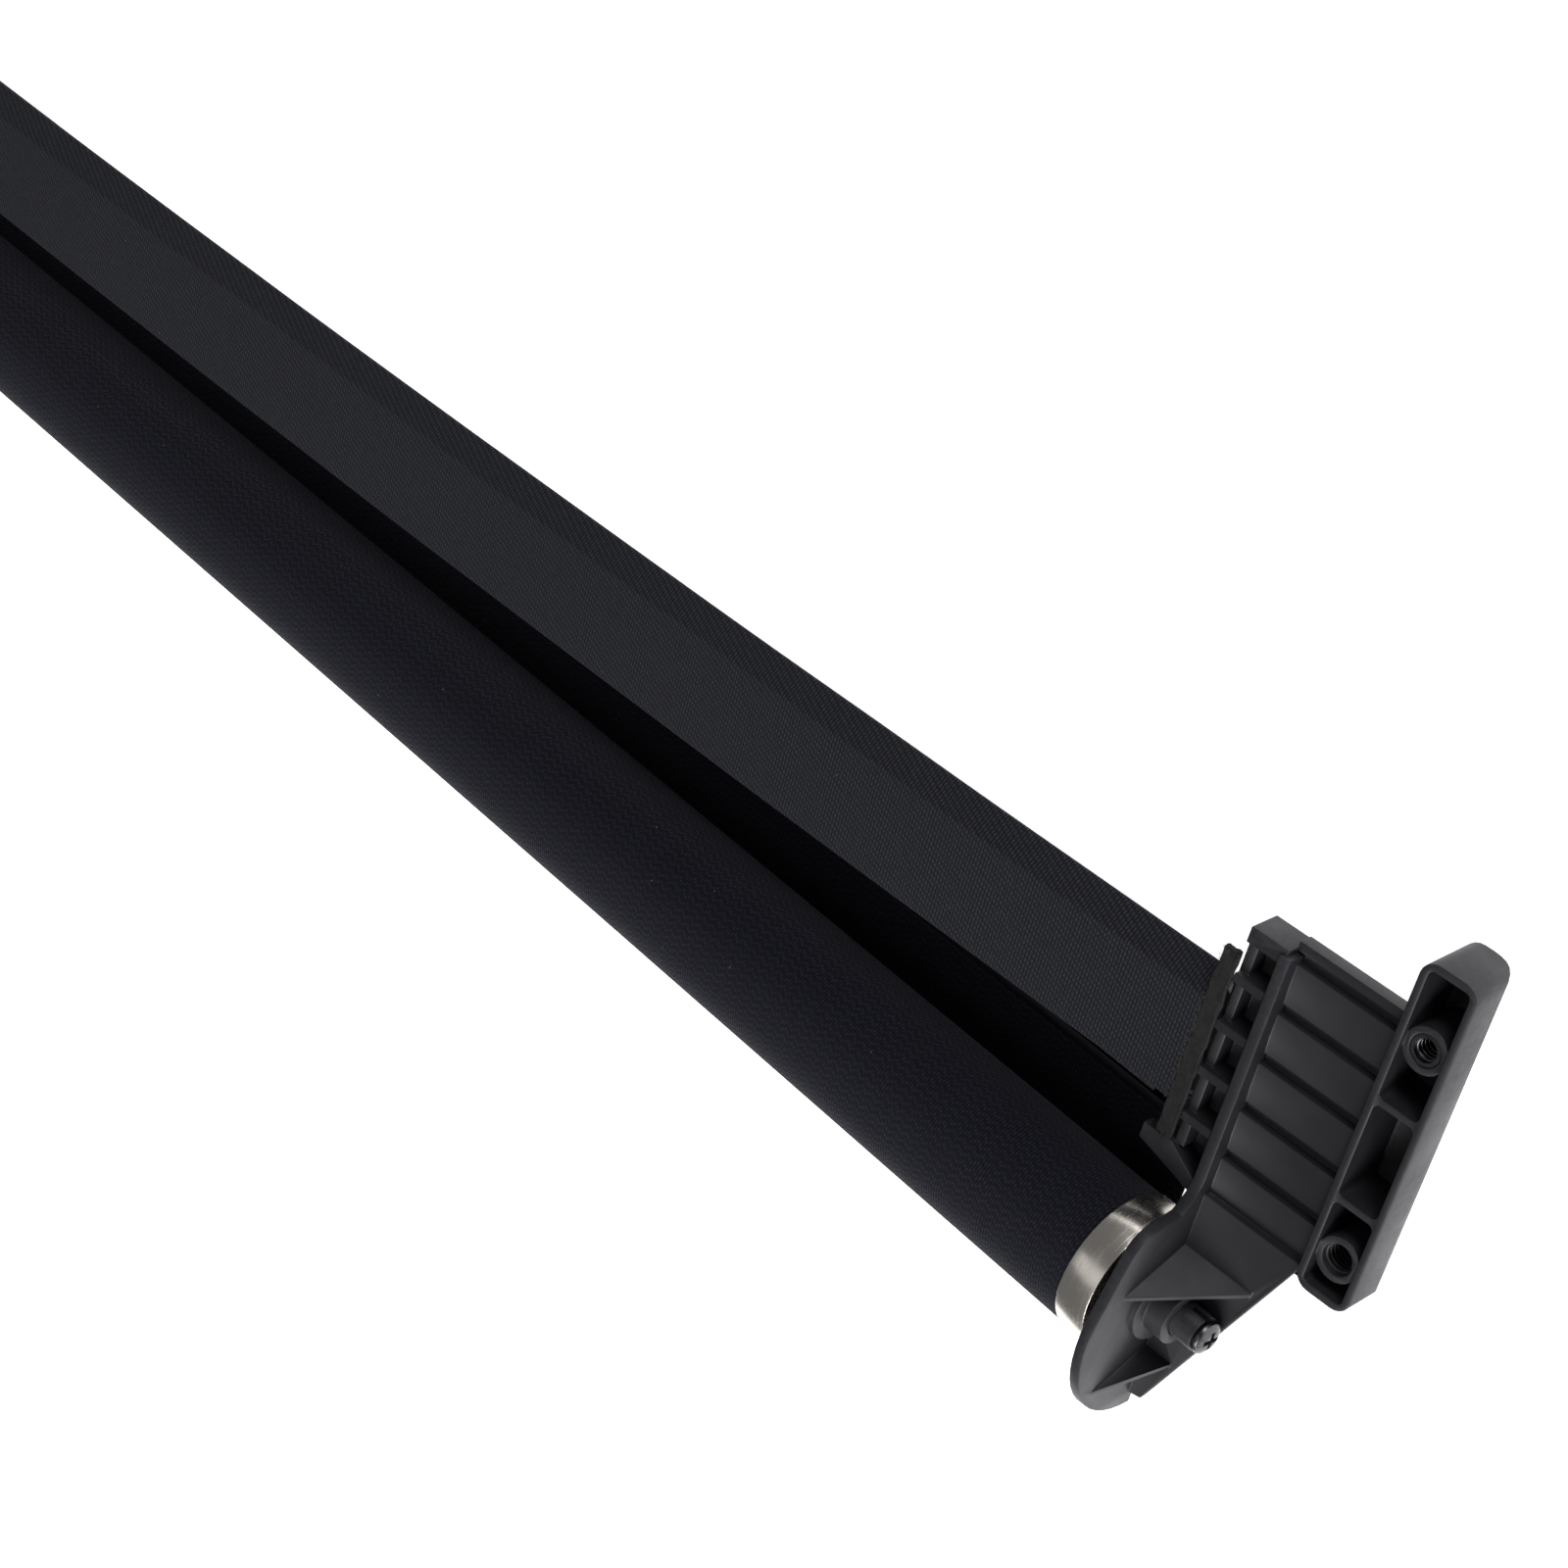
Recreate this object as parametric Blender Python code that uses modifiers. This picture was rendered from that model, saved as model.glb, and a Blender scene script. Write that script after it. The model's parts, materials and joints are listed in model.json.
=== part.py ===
"""Roller blind for a roof opening: a sprung roller with a wound curtain, a fabric covered cross beam,
and one moulded end bracket on each side that carries both.

Metres, +Z up. The roller's axis runs along X. The blind lies on the closed backs of its two feet,
and the origin is the middle of its footprint on that plane. The curtain is pulled towards +Y.
"""

import math

import bmesh
import bpy
from mathutils import Matrix, Vector

# Overall sizes
HALF_SPAN = 0.490  # middle of the blind to a cheek's outer face
ROLL_RADIUS = 0.016
BRACKET_TILT = math.radians(4.3)  # each bracket leans with the end of the crowned beam
GAP = 0.0003  # between pieces that touch

# Bracket: cheek, web and axle wall, measured from the roller's axis at the cheek's outer face.
# Bracket x points outwards, y from the roller to the beam, z to the open side.
CHEEK_THICKNESS = 0.0025
CHEEK_RADIUS = 0.026
CHEEK_CENTRE = (-0.0035, -0.005)
CHEEK_SHOULDER_RADIUS = 0.0073
CHEEK_SHOULDER = (0.0135, 0.0093)
WALL_FRONT = -0.0027
WALL_THICKNESS = 0.002
WALL_TIP_WIDTH = 0.0029
WEB_FRONT = -0.0007
WEB_DEPTH = 0.0085
NECK_Y = 0.0245

# Corrugated arm between web and foot
GROOVE_COUNT = 6
GROOVE_PITCH = 0.0114
FIRST_GROOVE_Y = 0.0225
GROOVE_WIDTH = 0.0022
GROOVE_DEPTH = 0.0019
ARM_FRONT = -0.0040
ARM_THICKNESS = 0.0036
ARM_TOP_MARGIN = 0.0035
PAD_SLOPE_WIDTH = 0.0042
PAD_SLOPE_DROP = 0.0006

# Foot: a long open box
FOOT_LEFT = 0.0234
FOOT_WIDTH = 0.0124
FOOT_BOTTOM = 0.021
FOOT_LENGTH = 0.0752
FOOT_RIM = -0.002
FOOT_DEPTH = 0.015
FOOT_WALL = 0.0017
FOOT_FLOOR = 0.002
FOOT_BACK_RADIUS = 0.007
FOOT_CORNER_RADIUS = 0.0034
FOOT_RIB_YS = (0.0425, 0.0652)
FOOT_RIB = 0.0015
BOSS_RADIUS = 0.0048
BOSS_HOLE_RADIUS = 0.0033
BOSS_RECESS = 0.0012  # boss top under the rim
BOSS_HOLE_DEPTH = 0.0105
BOSS_INSET = 0.0172  # from the foot's upper end to the upper boss, and to the lower one from below
LOWER_BOSS_INSET = 0.0092
INSERT_WALL = 0.0007
INSERT_LENGTH = 0.0080

# Plug between web and beam, with its ribbed cells and the spigot inside the beam
PLUG_TOP = 0.0800
PLUG_WALL = 0.0022
PLUG_DEPTH = 0.0085
PLUG_REACH = 0.0100
PLUG_RIB_COUNT = 4
PLUG_RIB_PITCH = 0.0108
PLUG_FIRST_RIB = 0.0368
SKIRT_START_Y = 0.0255
SKIRT_END_Y = 0.0310
SKIRT_LOW_START_Y = 0.0232
SKIRT_LOW_END_Y = 0.0275
SKIRT_REACH = 0.0168
SPIGOT_LENGTH = 0.0160
SPIGOT_CLEARANCE = 0.0009
SPIGOT_WALL = 0.0012
SKIRT_DEPTH = 0.0032
FELT_WIDTH = 0.0034
FELT_BOTTOM = 0.0310
FELT_TOP = 0.0752
FELT_DEPTH = 0.0022
FELT_FRONT = -0.0006

# Ribs on the axle wall, leaning with the mould's draw
GUSSET_LEAN = math.radians(21)
GUSSET_THICKNESS = 0.0013
GUSSETS = ((0.0115, 0.0166, 0.0175), (-0.0141, 0.0064, 0.0160))  # y on the wall, reach, height

# Axle hardware
COLLAR_RADIUS = 0.0088
COLLAR_END = 0.0020
BOSS_TUBE_RADIUS = 0.0062
BOSS_TUBE_END = 0.0068
STUB_RADIUS = 0.0039
STUB_END = 0.0120
STUB_INNER_END = -0.0240
STUB_SLOT_WIDTH = 0.0016
STUB_SLOT_DEPTH = 0.0042
RUNNING_CLEARANCE = 0.0001
SCREW_RADIUS = 0.0015
SCREW_LENGTH = 0.0090
SCREW_HEAD_RADIUS = 0.0037
SCREW_HEAD_HEIGHT = 0.0021
RECESS_WIDTH = 0.0011
RECESS_LENGTH = 0.0042
RECESS_DEPTH = 0.0013

# Roller
TUBE_RADIUS = 0.0120
TUBE_WALL = 0.0010
CURTAIN_HALF_WIDTH = 0.4775
SLEEVE_GAP = 0.0045  # cheek's outer face to the sleeve's end
SLEEVE_WALL = 0.0012
SLEEVE_WEB = 0.0015
SLEEVE_HUB_END = -0.0240
BUSH_WALL = 0.0012
BUSH_INNER_END = -0.0140
STRIP_WIDTH = 0.0050
STRIP_THICKNESS = 0.0005

# Spring drive inside the tube
ARBOR_RADIUS = 0.0030
ARBOR_END = -0.2400
ANCHOR_START = -0.0500
ANCHOR_LENGTH = 0.0120
ANCHOR_RADIUS = 0.0080
SPRING_LENGTH = 0.1500
SPRING_TURNS = 16
SPRING_POINTS_PER_TURN = 8
SPRING_RADIUS = 0.0065
SPRING_WIRE = 0.0008
DRIVE_PLUG_LENGTH = 0.0120

# Beam: outline of its fabric covered section at the ends, from the roller's axis (y, z)
BEAM_OUTLINE = ((0.0350, -0.0125), (0.0392, -0.0008), (0.0632, -0.0008), (0.0688, -0.0055), (0.0615, -0.0125))
BEAM_COVER = 0.0006
BEAM_WALL = 0.0015
BEAM_SLICES = 24
COVER_TURN_IN = 0.0080  # fabric folded onto the back

# Pull bar and curtain
BAR_START_Y = 0.0245
BAR_WIDTH = 0.0150
BAR_THICKNESS = 0.0036
BAR_HALF_LENGTH = 0.4680
BAR_GROOVE_WIDTH = 0.0100
BAR_GROOVE_DEPTH = 0.0016
GLIDER_LENGTH = 0.0340
GLIDER_SHOE = 0.0120
GRIP_HALF_LENGTH = 0.0450
GRIP_REACH = 0.0060
CURTAIN_THICKNESS = 0.0004

# Places that follow from the sizes above
FOOT_BACK = FOOT_RIM - FOOT_DEPTH
AXIS_Z = (
    -FOOT_BACK * math.cos(BRACKET_TILT)
    + (FOOT_LEFT + FOOT_WIDTH - FOOT_BACK_RADIUS) * math.sin(BRACKET_TILT)
)
CHEEK_LOW = CHEEK_RADIUS - CHEEK_CENTRE[0] - 0.0023
AXIS_Y = (CHEEK_LOW - FOOT_BOTTOM - FOOT_LENGTH) / 2
AXIS = Vector((0, AXIS_Y, AXIS_Z))
FELT_INNER = -PLUG_REACH - GAP - FELT_WIDTH
BEAM_HALF_LENGTH = HALF_SPAN + FELT_INNER - GAP
BEAM_CROWN = BEAM_HALF_LENGTH * math.tan(BRACKET_TILT) / 2  # its ends leave the brackets at their lean
BEAM_LIFT = -FELT_INNER * math.sin(BRACKET_TILT)  # keeps the beam's ends flush with the leaning brackets
CURTAIN_Z = -ROLL_RADIUS  # the curtain leaves the roll at its lowest line

FINISHES = {
    "moulded_plastic": ((0.028, 0.029, 0.031), 0.48, 0.0),
    "beam_plastic": ((0.05, 0.05, 0.052), 0.6, 0.0),
    "beam_fabric": ((0.012, 0.012, 0.016), 0.9, 0.0),
    "curtain_fabric": ((0.009, 0.009, 0.013), 0.9, 0.0),
    "felt": ((0.07, 0.07, 0.07), 1.0, 0.0),
    "nickel": ((0.72, 0.67, 0.60), 0.18, 1.0),
    "zinc": ((0.45, 0.45, 0.45), 0.35, 1.0),
    "dark_steel": ((0.06, 0.06, 0.065), 0.3, 1.0),
    "spring_steel": ((0.30, 0.30, 0.31), 0.3, 1.0),
    "acetal": ((0.72, 0.72, 0.70), 0.4, 0.0),
    "aluminium": ((0.62, 0.63, 0.64), 0.35, 1.0),
}


def clear_scene():
    for obj in list(bpy.data.objects):
        bpy.data.objects.remove(obj, do_unlink=True)


def make_collection(name):
    collection = bpy.data.collections.new(name)
    bpy.context.scene.collection.children.link(collection)
    return collection


def material(name):
    """The finish as a Principled material, made once."""
    found = bpy.data.materials.get(name)
    if found:
        return found
    colour, roughness, metallic = FINISHES[name]
    made = bpy.data.materials.new(name)
    made.use_nodes = True
    shader = made.node_tree.nodes["Principled BSDF"]
    shader.inputs["Base Color"].default_value = (*colour, 1)
    shader.inputs["Roughness"].default_value = roughness
    shader.inputs["Metallic"].default_value = metallic
    return made


def add_object(name, mesh, collection, matrix=None):
    obj = bpy.data.objects.new(name, mesh)
    collection.objects.link(obj)
    if matrix is not None:
        obj.matrix_world = matrix
    return obj


def mesh_from(bm, name):
    mesh = bpy.data.meshes.new(name)
    bm.to_mesh(mesh)
    bm.free()
    return mesh


def box_mesh(name, low, high):
    bm = bmesh.new()
    bmesh.ops.create_cube(bm, size=1)
    size = Vector(high) - Vector(low)
    bmesh.ops.scale(bm, vec=size, verts=bm.verts)
    bmesh.ops.translate(bm, vec=Vector(low) + size / 2, verts=bm.verts)
    return mesh_from(bm, name)


def cylinder_mesh(name, radius, start, end, sides=32):
    """A round bar along X from start to end."""
    bm = bmesh.new()
    bmesh.ops.create_cone(bm, cap_ends=True, segments=sides, radius1=radius, radius2=radius,
                          depth=end - start)
    bmesh.ops.rotate(bm, matrix=Matrix.Rotation(math.pi / 2, 3, "Y"), verts=bm.verts)
    bmesh.ops.translate(bm, vec=((start + end) / 2, 0, 0), verts=bm.verts)
    return mesh_from(bm, name)


def slab_mesh(name, outline, depth, place):
    """A flat outline, extruded by depth about its own plane and moved by the matrix place."""
    curve = bpy.data.curves.new(name, "CURVE")
    curve.dimensions = "2D"
    curve.fill_mode = "BOTH"
    curve.extrude = depth / 2
    spline = curve.splines.new("POLY")
    spline.points.add(len(outline) - 1)
    for point, (a, b) in zip(spline.points, outline):
        point.co = (a, b, 0, 1)
    spline.use_cyclic_u = True
    flat = bpy.data.objects.new(name, curve)
    bpy.context.scene.collection.objects.link(flat)
    bpy.context.view_layer.update()
    graph = bpy.context.evaluated_depsgraph_get()
    mesh = bpy.data.meshes.new_from_object(flat.evaluated_get(graph))
    bpy.data.objects.remove(flat)
    bm = bmesh.new()
    bm.from_mesh(mesh)
    bmesh.ops.remove_doubles(bm, verts=bm.verts, dist=1e-6)
    bmesh.ops.transform(bm, matrix=place, verts=bm.verts)
    bmesh.ops.recalc_face_normals(bm, faces=bm.faces)
    bm.to_mesh(mesh)
    bm.free()
    return mesh


def across_x(x):
    """Turns an outline drawn in (y, z) to stand across X at x."""
    return Matrix.Translation((x, 0, 0)) @ Matrix(((0, 0, 1, 0), (1, 0, 0, 0), (0, 1, 0, 0), (0, 0, 0, 1)))


def across_y(y):
    """Turns an outline drawn in (x, z) to stand across Y at y."""
    return Matrix.Translation((0, y, 0)) @ Matrix.Rotation(math.pi / 2, 4, "X")


def across_z(z):
    return Matrix.Translation((0, 0, z))


def arc(centre, radius, start, end, steps=8):
    """Points on an arc, from the angle start to the angle end in degrees."""
    points = []
    for i in range(steps + 1):
        angle = math.radians(start + (end - start) * i / steps)
        points.append((centre[0] + radius * math.cos(angle), centre[1] + radius * math.sin(angle)))
    return points


def rounded_rectangle(low, high, radius, steps=5):
    corners = (
        ((high[0] - radius, high[1] - radius), 0),
        ((low[0] + radius, high[1] - radius), 90),
        ((low[0] + radius, low[1] + radius), 180),
        ((high[0] - radius, low[1] + radius), 270),
    )
    points = []
    for centre, start in corners:
        points += arc(centre, radius, start, start + 90, steps)
    return points


def offset_outline(points, distance):
    """A closed outline moved outwards by distance, corner by corner."""
    count = len(points)
    area = sum(points[i - 1][0] * points[i][1] - points[i][0] * points[i - 1][1] for i in range(count))
    side = 1 if area > 0 else -1
    moved = []
    for i in range(count):
        here = Vector(points[i])
        before = (here - Vector(points[i - 1])).normalized()
        after = (Vector(points[(i + 1) % count]) - here).normalized()
        normal_before = Vector((before.y, -before.x)) * side
        normal_after = Vector((after.y, -after.x)) * side
        bisector = (normal_before + normal_after).normalized()
        moved.append(tuple(here + bisector * distance / bisector.dot(normal_before)))
    return moved


def turned(name, profile, parts, finish, matrix):
    """A profile of (x, radius) points, closed, turned about X."""
    bm = bmesh.new()
    verts = [bm.verts.new((radius, 0, x)) for x, radius in profile]
    for a, b in zip(verts, verts[1:] + verts[:1]):
        bm.edges.new((a, b))
    obj = add_object(name, mesh_from(bm, name), parts)
    screw = obj.modifiers.new("Turn", "SCREW")
    screw.steps = screw.render_steps = 40
    screw.use_merge_vertices = True
    screw.merge_threshold = 0.00001
    screw.use_normal_calculate = False
    obj.matrix_world = matrix @ Matrix.Rotation(math.pi / 2, 4, "Y")
    obj.data.materials.append(material(finish))
    return obj


def boolean(obj, collection_or_object, operation):
    modifier = obj.modifiers.new(operation.title(), "BOOLEAN")
    modifier.operation = operation
    if isinstance(collection_or_object, bpy.types.Collection):
        modifier.operand_type = "COLLECTION"
        modifier.collection = collection_or_object
    else:
        modifier.object = collection_or_object
    return modifier


def hide_helper(obj):
    obj.hide_render = True
    obj.display_type = "WIRE"


def evaluated_mesh(obj, name):
    bpy.context.view_layer.update()
    graph = bpy.context.evaluated_depsgraph_get()
    mesh = bpy.data.meshes.new_from_object(obj.evaluated_get(graph))
    mesh.name = name
    return mesh


def mirrored(mesh, name):
    """The same mesh for the other side of the blind."""
    bm = bmesh.new()
    bm.from_mesh(mesh)
    bmesh.ops.scale(bm, vec=(-1, 1, 1), verts=bm.verts)
    bmesh.ops.reverse_faces(bm, faces=bm.faces)
    other = mesh_from(bm, name)
    for finish in mesh.materials:
        other.materials.append(finish)
    return other


def cheek_and_web_outline():
    """The cheek's lobe round the axle and the web that runs on from it, in (y, z)."""
    back = WALL_FRONT - WALL_THICKNESS
    drop = math.degrees(math.asin((back - CHEEK_CENTRE[1]) / CHEEK_RADIUS))
    lobe = arc(CHEEK_CENTRE, CHEEK_RADIUS, 180 - drop, 80, 14)
    shoulder = arc(CHEEK_SHOULDER, CHEEK_SHOULDER_RADIUS, 70, 0, 6)
    neck = [(NECK_Y - 0.0030, 0.0030), (NECK_Y, 0.0004), (NECK_Y + 0.0035, WEB_FRONT)]
    web_back = WEB_FRONT - WEB_DEPTH
    web = [(PLUG_TOP, WEB_FRONT), (PLUG_TOP, web_back), (NECK_Y, web_back), (NECK_Y, back)]
    return lobe + shoulder + neck + web


def axle_wall_outline():
    """The plate behind the axle in (x, y): wide at the arm, narrow at the cheek's low end."""
    low = CHEEK_CENTRE[0] - CHEEK_RADIUS + 0.0030
    inner = -CHEEK_THICKNESS
    return [(inner, low), (WALL_TIP_WIDTH, low + 0.001), (FOOT_LEFT - 0.0010, FOOT_BOTTOM),
            (FOOT_LEFT + 0.0005, NECK_Y), (inner, NECK_Y)]


def arm_outline():
    """The corrugated plate in (y, z): flat pads with a sloped third, between square grooves."""
    back = ARM_FRONT - ARM_THICKNESS
    top = FIRST_GROOVE_Y + (GROOVE_COUNT - 1) * GROOVE_PITCH + ARM_TOP_MARGIN
    points = [(FOOT_BOTTOM, back), (FOOT_BOTTOM, ARM_FRONT)]
    for i in range(GROOVE_COUNT):
        low = FIRST_GROOVE_Y + i * GROOVE_PITCH - GROOVE_WIDTH / 2
        high = low + GROOVE_WIDTH
        floor = ARM_FRONT - GROOVE_DEPTH
        points += [(low, ARM_FRONT), (low, floor), (high, floor), (high, ARM_FRONT - PAD_SLOPE_DROP)]
        if i < GROOVE_COUNT - 1:
            points.append((high + PAD_SLOPE_WIDTH, ARM_FRONT))
    return points + [(top, ARM_FRONT), (top, back)]


def foot_section(inset, floor_inset, front):
    """The foot across its length in (x, z), with one rounded back edge, shrunk by the insets."""
    left = FOOT_LEFT + inset
    right = FOOT_LEFT + FOOT_WIDTH - inset
    floor = FOOT_BACK + floor_inset
    radius = FOOT_BACK_RADIUS - floor_inset
    return [(left, front), (left, floor)] + arc((right - radius, floor + radius), radius, 270, 360, 7) + [
        (right, front)]


def foot_block(name, inset, floor_inset, low, high, corner, helpers, matrix):
    """The part of the foot's section between two heights, with rounded ends."""
    middle = (low + high) / 2
    section = foot_section(inset, floor_inset, FOOT_RIM + (0.002 if inset else 0))
    block = add_object(name, slab_mesh(name, section, high - low, across_y(middle)), helpers, matrix)
    plan = rounded_rectangle((FOOT_LEFT + inset, low), (FOOT_LEFT + FOOT_WIDTH - inset, high), corner)
    plan_mesh = slab_mesh(name + "_plan", plan, 0.06, across_z(FOOT_BACK))
    cutter = add_object(name + "_plan", plan_mesh, helpers, matrix)
    boolean(block, cutter, "INTERSECT")
    hide_helper(block)
    hide_helper(cutter)
    return block


def boss_centres():
    x = FOOT_LEFT + FOOT_WIDTH / 2
    return [(x, FOOT_BOTTOM + FOOT_LENGTH - BOSS_INSET), (x, FOOT_BOTTOM + LOWER_BOSS_INSET)]


def post_mesh(name, radius, centre, low, high, sides=24):
    """A round post along Z."""
    bm = bmesh.new()
    bmesh.ops.create_cone(bm, cap_ends=True, segments=sides, radius1=radius, radius2=radius, depth=high - low)
    bmesh.ops.translate(bm, vec=(centre[0], centre[1], (low + high) / 2), verts=bm.verts)
    return mesh_from(bm, name)


def spigot_outline():
    """The spigot's section in (y, z): the beam's section, inside its wall and a fitting clearance."""
    inset = BEAM_COVER + GAP + BEAM_WALL + SPIGOT_CLEARANCE
    return offset_outline(list(BEAM_OUTLINE), -inset)


def add_bracket_bodies(solids, tilted, boss_limit):
    """Everything that the moulding is joined from."""
    def put(name, mesh):
        hide_helper(add_object(name, mesh, solids, tilted))

    cheek_x = -CHEEK_THICKNESS / 2
    put("axle_wall", slab_mesh("axle_wall", axle_wall_outline(), WALL_THICKNESS,
                               across_z(WALL_FRONT - WALL_THICKNESS / 2)))
    arm_end = FOOT_LEFT + FOOT_WALL / 2
    put("arm", slab_mesh("arm", arm_outline(), arm_end - cheek_x, across_x((arm_end + cheek_x) / 2)))
    plug_back = WEB_FRONT - PLUG_DEPTH
    put("plug_back", box_mesh("plug_back", (-PLUG_REACH, SKIRT_END_Y - 0.0009, plug_back - 0.0005),
                              (cheek_x, PLUG_TOP, plug_back + PLUG_WALL)))
    put("plug_end", box_mesh("plug_end", (-PLUG_REACH, SKIRT_END_Y - 0.0006, plug_back - 0.0004),
                             (-PLUG_REACH + PLUG_WALL, PLUG_TOP - 0.0004, FELT_FRONT - FELT_DEPTH)))
    put("plug_top", box_mesh("plug_top", (-PLUG_REACH - 0.0002, PLUG_TOP - PLUG_WALL, plug_back - 0.0006),
                             (cheek_x, PLUG_TOP + 0.0013, WEB_FRONT - 0.0009)))
    for i in range(PLUG_RIB_COUNT):
        low = PLUG_FIRST_RIB + i * PLUG_RIB_PITCH
        put(f"plug_rib_{i}", box_mesh("plug_rib", (-PLUG_REACH + 0.0002, low, plug_back),
                                      (cheek_x, low + PLUG_WALL * 0.9, WEB_FRONT - 0.0003)))
    skirt = [(cheek_x, SKIRT_START_Y), (-PLUG_REACH, SKIRT_END_Y), (-SKIRT_REACH, SKIRT_END_Y),
             (-SKIRT_REACH, SKIRT_LOW_END_Y), (cheek_x, SKIRT_LOW_START_Y)]
    put("skirt", slab_mesh("skirt", skirt, SKIRT_DEPTH, across_z(WEB_FRONT - SKIRT_DEPTH / 2 - 0.0007)))
    root = [(cheek_x, SKIRT_START_Y - 0.0003), (-PLUG_REACH - 0.0001, SKIRT_END_Y - 0.0003),
            (-PLUG_REACH - 0.0001, SKIRT_LOW_END_Y), (cheek_x, SKIRT_LOW_START_Y + 0.0001)]
    root_middle = plug_back + PLUG_DEPTH / 2 - 0.0007
    put("skirt_root", slab_mesh("skirt_root", root, PLUG_DEPTH - 0.0012, across_z(root_middle)))
    put("skirt_floor", box_mesh("skirt_floor",
                                (-PLUG_REACH + 0.0003, SKIRT_START_Y + 0.0008, plug_back - 0.0002),
                                (cheek_x, PLUG_FIRST_RIB, plug_back + PLUG_WALL - 0.0003)))
    put("spigot", slab_mesh("spigot", spigot_outline(), SPIGOT_LENGTH + FELT_WIDTH + PLUG_WALL,
                            across_x(-PLUG_REACH + PLUG_WALL / 2 - (SPIGOT_LENGTH + FELT_WIDTH) / 2)))
    for i, (y, reach, height) in enumerate(GUSSETS):
        lean = Matrix.Translation((0, y, WALL_FRONT)) @ Matrix.Rotation(GUSSET_LEAN, 4, "X") @ across_y(0)
        sunk = WALL_THICKNESS / 2
        outline = [(cheek_x, -sunk), (reach, -sunk), (reach, 0), (0, height), (cheek_x, height)]
        put(f"gusset_{i}", slab_mesh("gusset", outline, GUSSET_THICKNESS, lean))
    for i, centre in enumerate(boss_centres()):
        put(f"foot_boss_{i}", post_mesh("foot_boss", BOSS_RADIUS, centre, FOOT_BACK + FOOT_FLOOR / 3,
                                        FOOT_RIM - BOSS_RECESS))
        boolean(solids.objects[f"foot_boss_{i}"], boss_limit, "INTERSECT")


def add_bracket_cuts(cuts, tilted, straight):
    """The holes that stay open after the joining."""
    for i, centre in enumerate(boss_centres()):
        top = FOOT_RIM - BOSS_RECESS
        hole = post_mesh("boss_hole", BOSS_HOLE_RADIUS, centre, top - BOSS_HOLE_DEPTH, top + 0.002)
        hide_helper(add_object(f"boss_hole_{i}", hole, cuts, tilted))
    bore = cylinder_mesh("axle_bore", STUB_RADIUS + RUNNING_CLEARANCE, -0.02, 0.03)
    hide_helper(add_object("axle_bore", bore, cuts, straight))
    section = spigot_outline()
    low_z = min(z for _, z in section) + SPIGOT_WALL
    high_z = max(z for _, z in section) - SPIGOT_WALL
    spigot_end = -PLUG_REACH - FELT_WIDTH
    pocket = box_mesh("spigot_pocket", (spigot_end - SPIGOT_LENGTH - 0.005, section[1][0], low_z),
                      (spigot_end, section[2][0], high_z))
    hide_helper(add_object("spigot_pocket", pocket, cuts, tilted))


def add_brackets(parts, cutters):
    """The right bracket, joined from its shapes, and its mirror image."""
    straight = Matrix.Translation(AXIS + Vector((HALF_SPAN, 0, 0)))
    tilted = straight @ Matrix.Rotation(BRACKET_TILT, 4, "Y")
    solids = bpy.data.collections.new("bracket_solids")
    cuts = bpy.data.collections.new("bracket_cuts")
    foot_cells = bpy.data.collections.new("foot_cells")
    for helper in (solids, cuts, foot_cells):
        cutters.children.link(helper)

    top = FOOT_BOTTOM + FOOT_LENGTH
    foot = foot_block("foot", 0, 0, FOOT_BOTTOM, top, FOOT_CORNER_RADIUS, cutters, tilted)
    # The bosses end inside the foot's walls.
    limit = foot_block("boss_limit", FOOT_WALL / 2, FOOT_FLOOR / 2, FOOT_BOTTOM + FOOT_WALL / 2,
                       top - FOOT_WALL / 2, FOOT_CORNER_RADIUS / 2, cutters, tilted)
    boss_limit = add_object("boss_limit_solid", evaluated_mesh(limit, "boss_limit_solid"), cutters, tilted)
    hide_helper(boss_limit)
    edges = [FOOT_BOTTOM + FOOT_WALL] + [y + side * FOOT_RIB / 2 for y in FOOT_RIB_YS for side in (-1, 1)]
    edges.append(top - FOOT_WALL)
    for i in range(0, len(edges), 2):
        cell = foot_block(f"foot_cell_{i}", FOOT_WALL, FOOT_FLOOR, edges[i], edges[i + 1], 0.0012,
                          cutters, tilted)
        mesh = evaluated_mesh(cell, f"foot_cell_{i}_cut")
        hide_helper(add_object(f"foot_cell_{i}_cut", mesh, foot_cells, tilted))
    boolean(foot, foot_cells, "DIFFERENCE")
    shell = evaluated_mesh(foot, "foot_shell")
    hide_helper(add_object("foot_shell", shell, solids, tilted))

    add_bracket_bodies(solids, tilted, boss_limit)
    hubs = (("collar", COLLAR_RADIUS, -CHEEK_THICKNESS * 0.7, COLLAR_END),
            ("boss_tube", BOSS_TUBE_RADIUS, -CHEEK_THICKNESS * 0.4, BOSS_TUBE_END))
    for name, radius, start, end in hubs:
        hub = cylinder_mesh(name, radius, start, end)
        hide_helper(add_object(name, hub, solids, straight))
    add_bracket_cuts(cuts, tilted, straight)

    cheek = slab_mesh("cheek", cheek_and_web_outline(), CHEEK_THICKNESS, across_x(-CHEEK_THICKNESS / 2))
    bracket = add_object("cheek", cheek, cutters, tilted)
    boolean(bracket, solids, "UNION")
    boolean(bracket, cuts, "DIFFERENCE")
    hide_helper(bracket)
    moulded = evaluated_mesh(bracket, "right_bracket")
    bm = bmesh.new()
    bm.from_mesh(moulded)
    bmesh.ops.transform(bm, matrix=Matrix.Translation(-straight.to_translation()) @ tilted, verts=bm.verts)
    bm.to_mesh(moulded)
    bm.free()
    moulded.materials.clear()
    moulded.materials.append(material("moulded_plastic"))
    add_object("right_bracket", moulded, parts, straight)
    left = Matrix.Translation(AXIS - Vector((HALF_SPAN, 0, 0)))
    add_object("left_bracket", mirrored(moulded, "left_bracket"), parts, left)
    return straight, tilted


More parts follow.
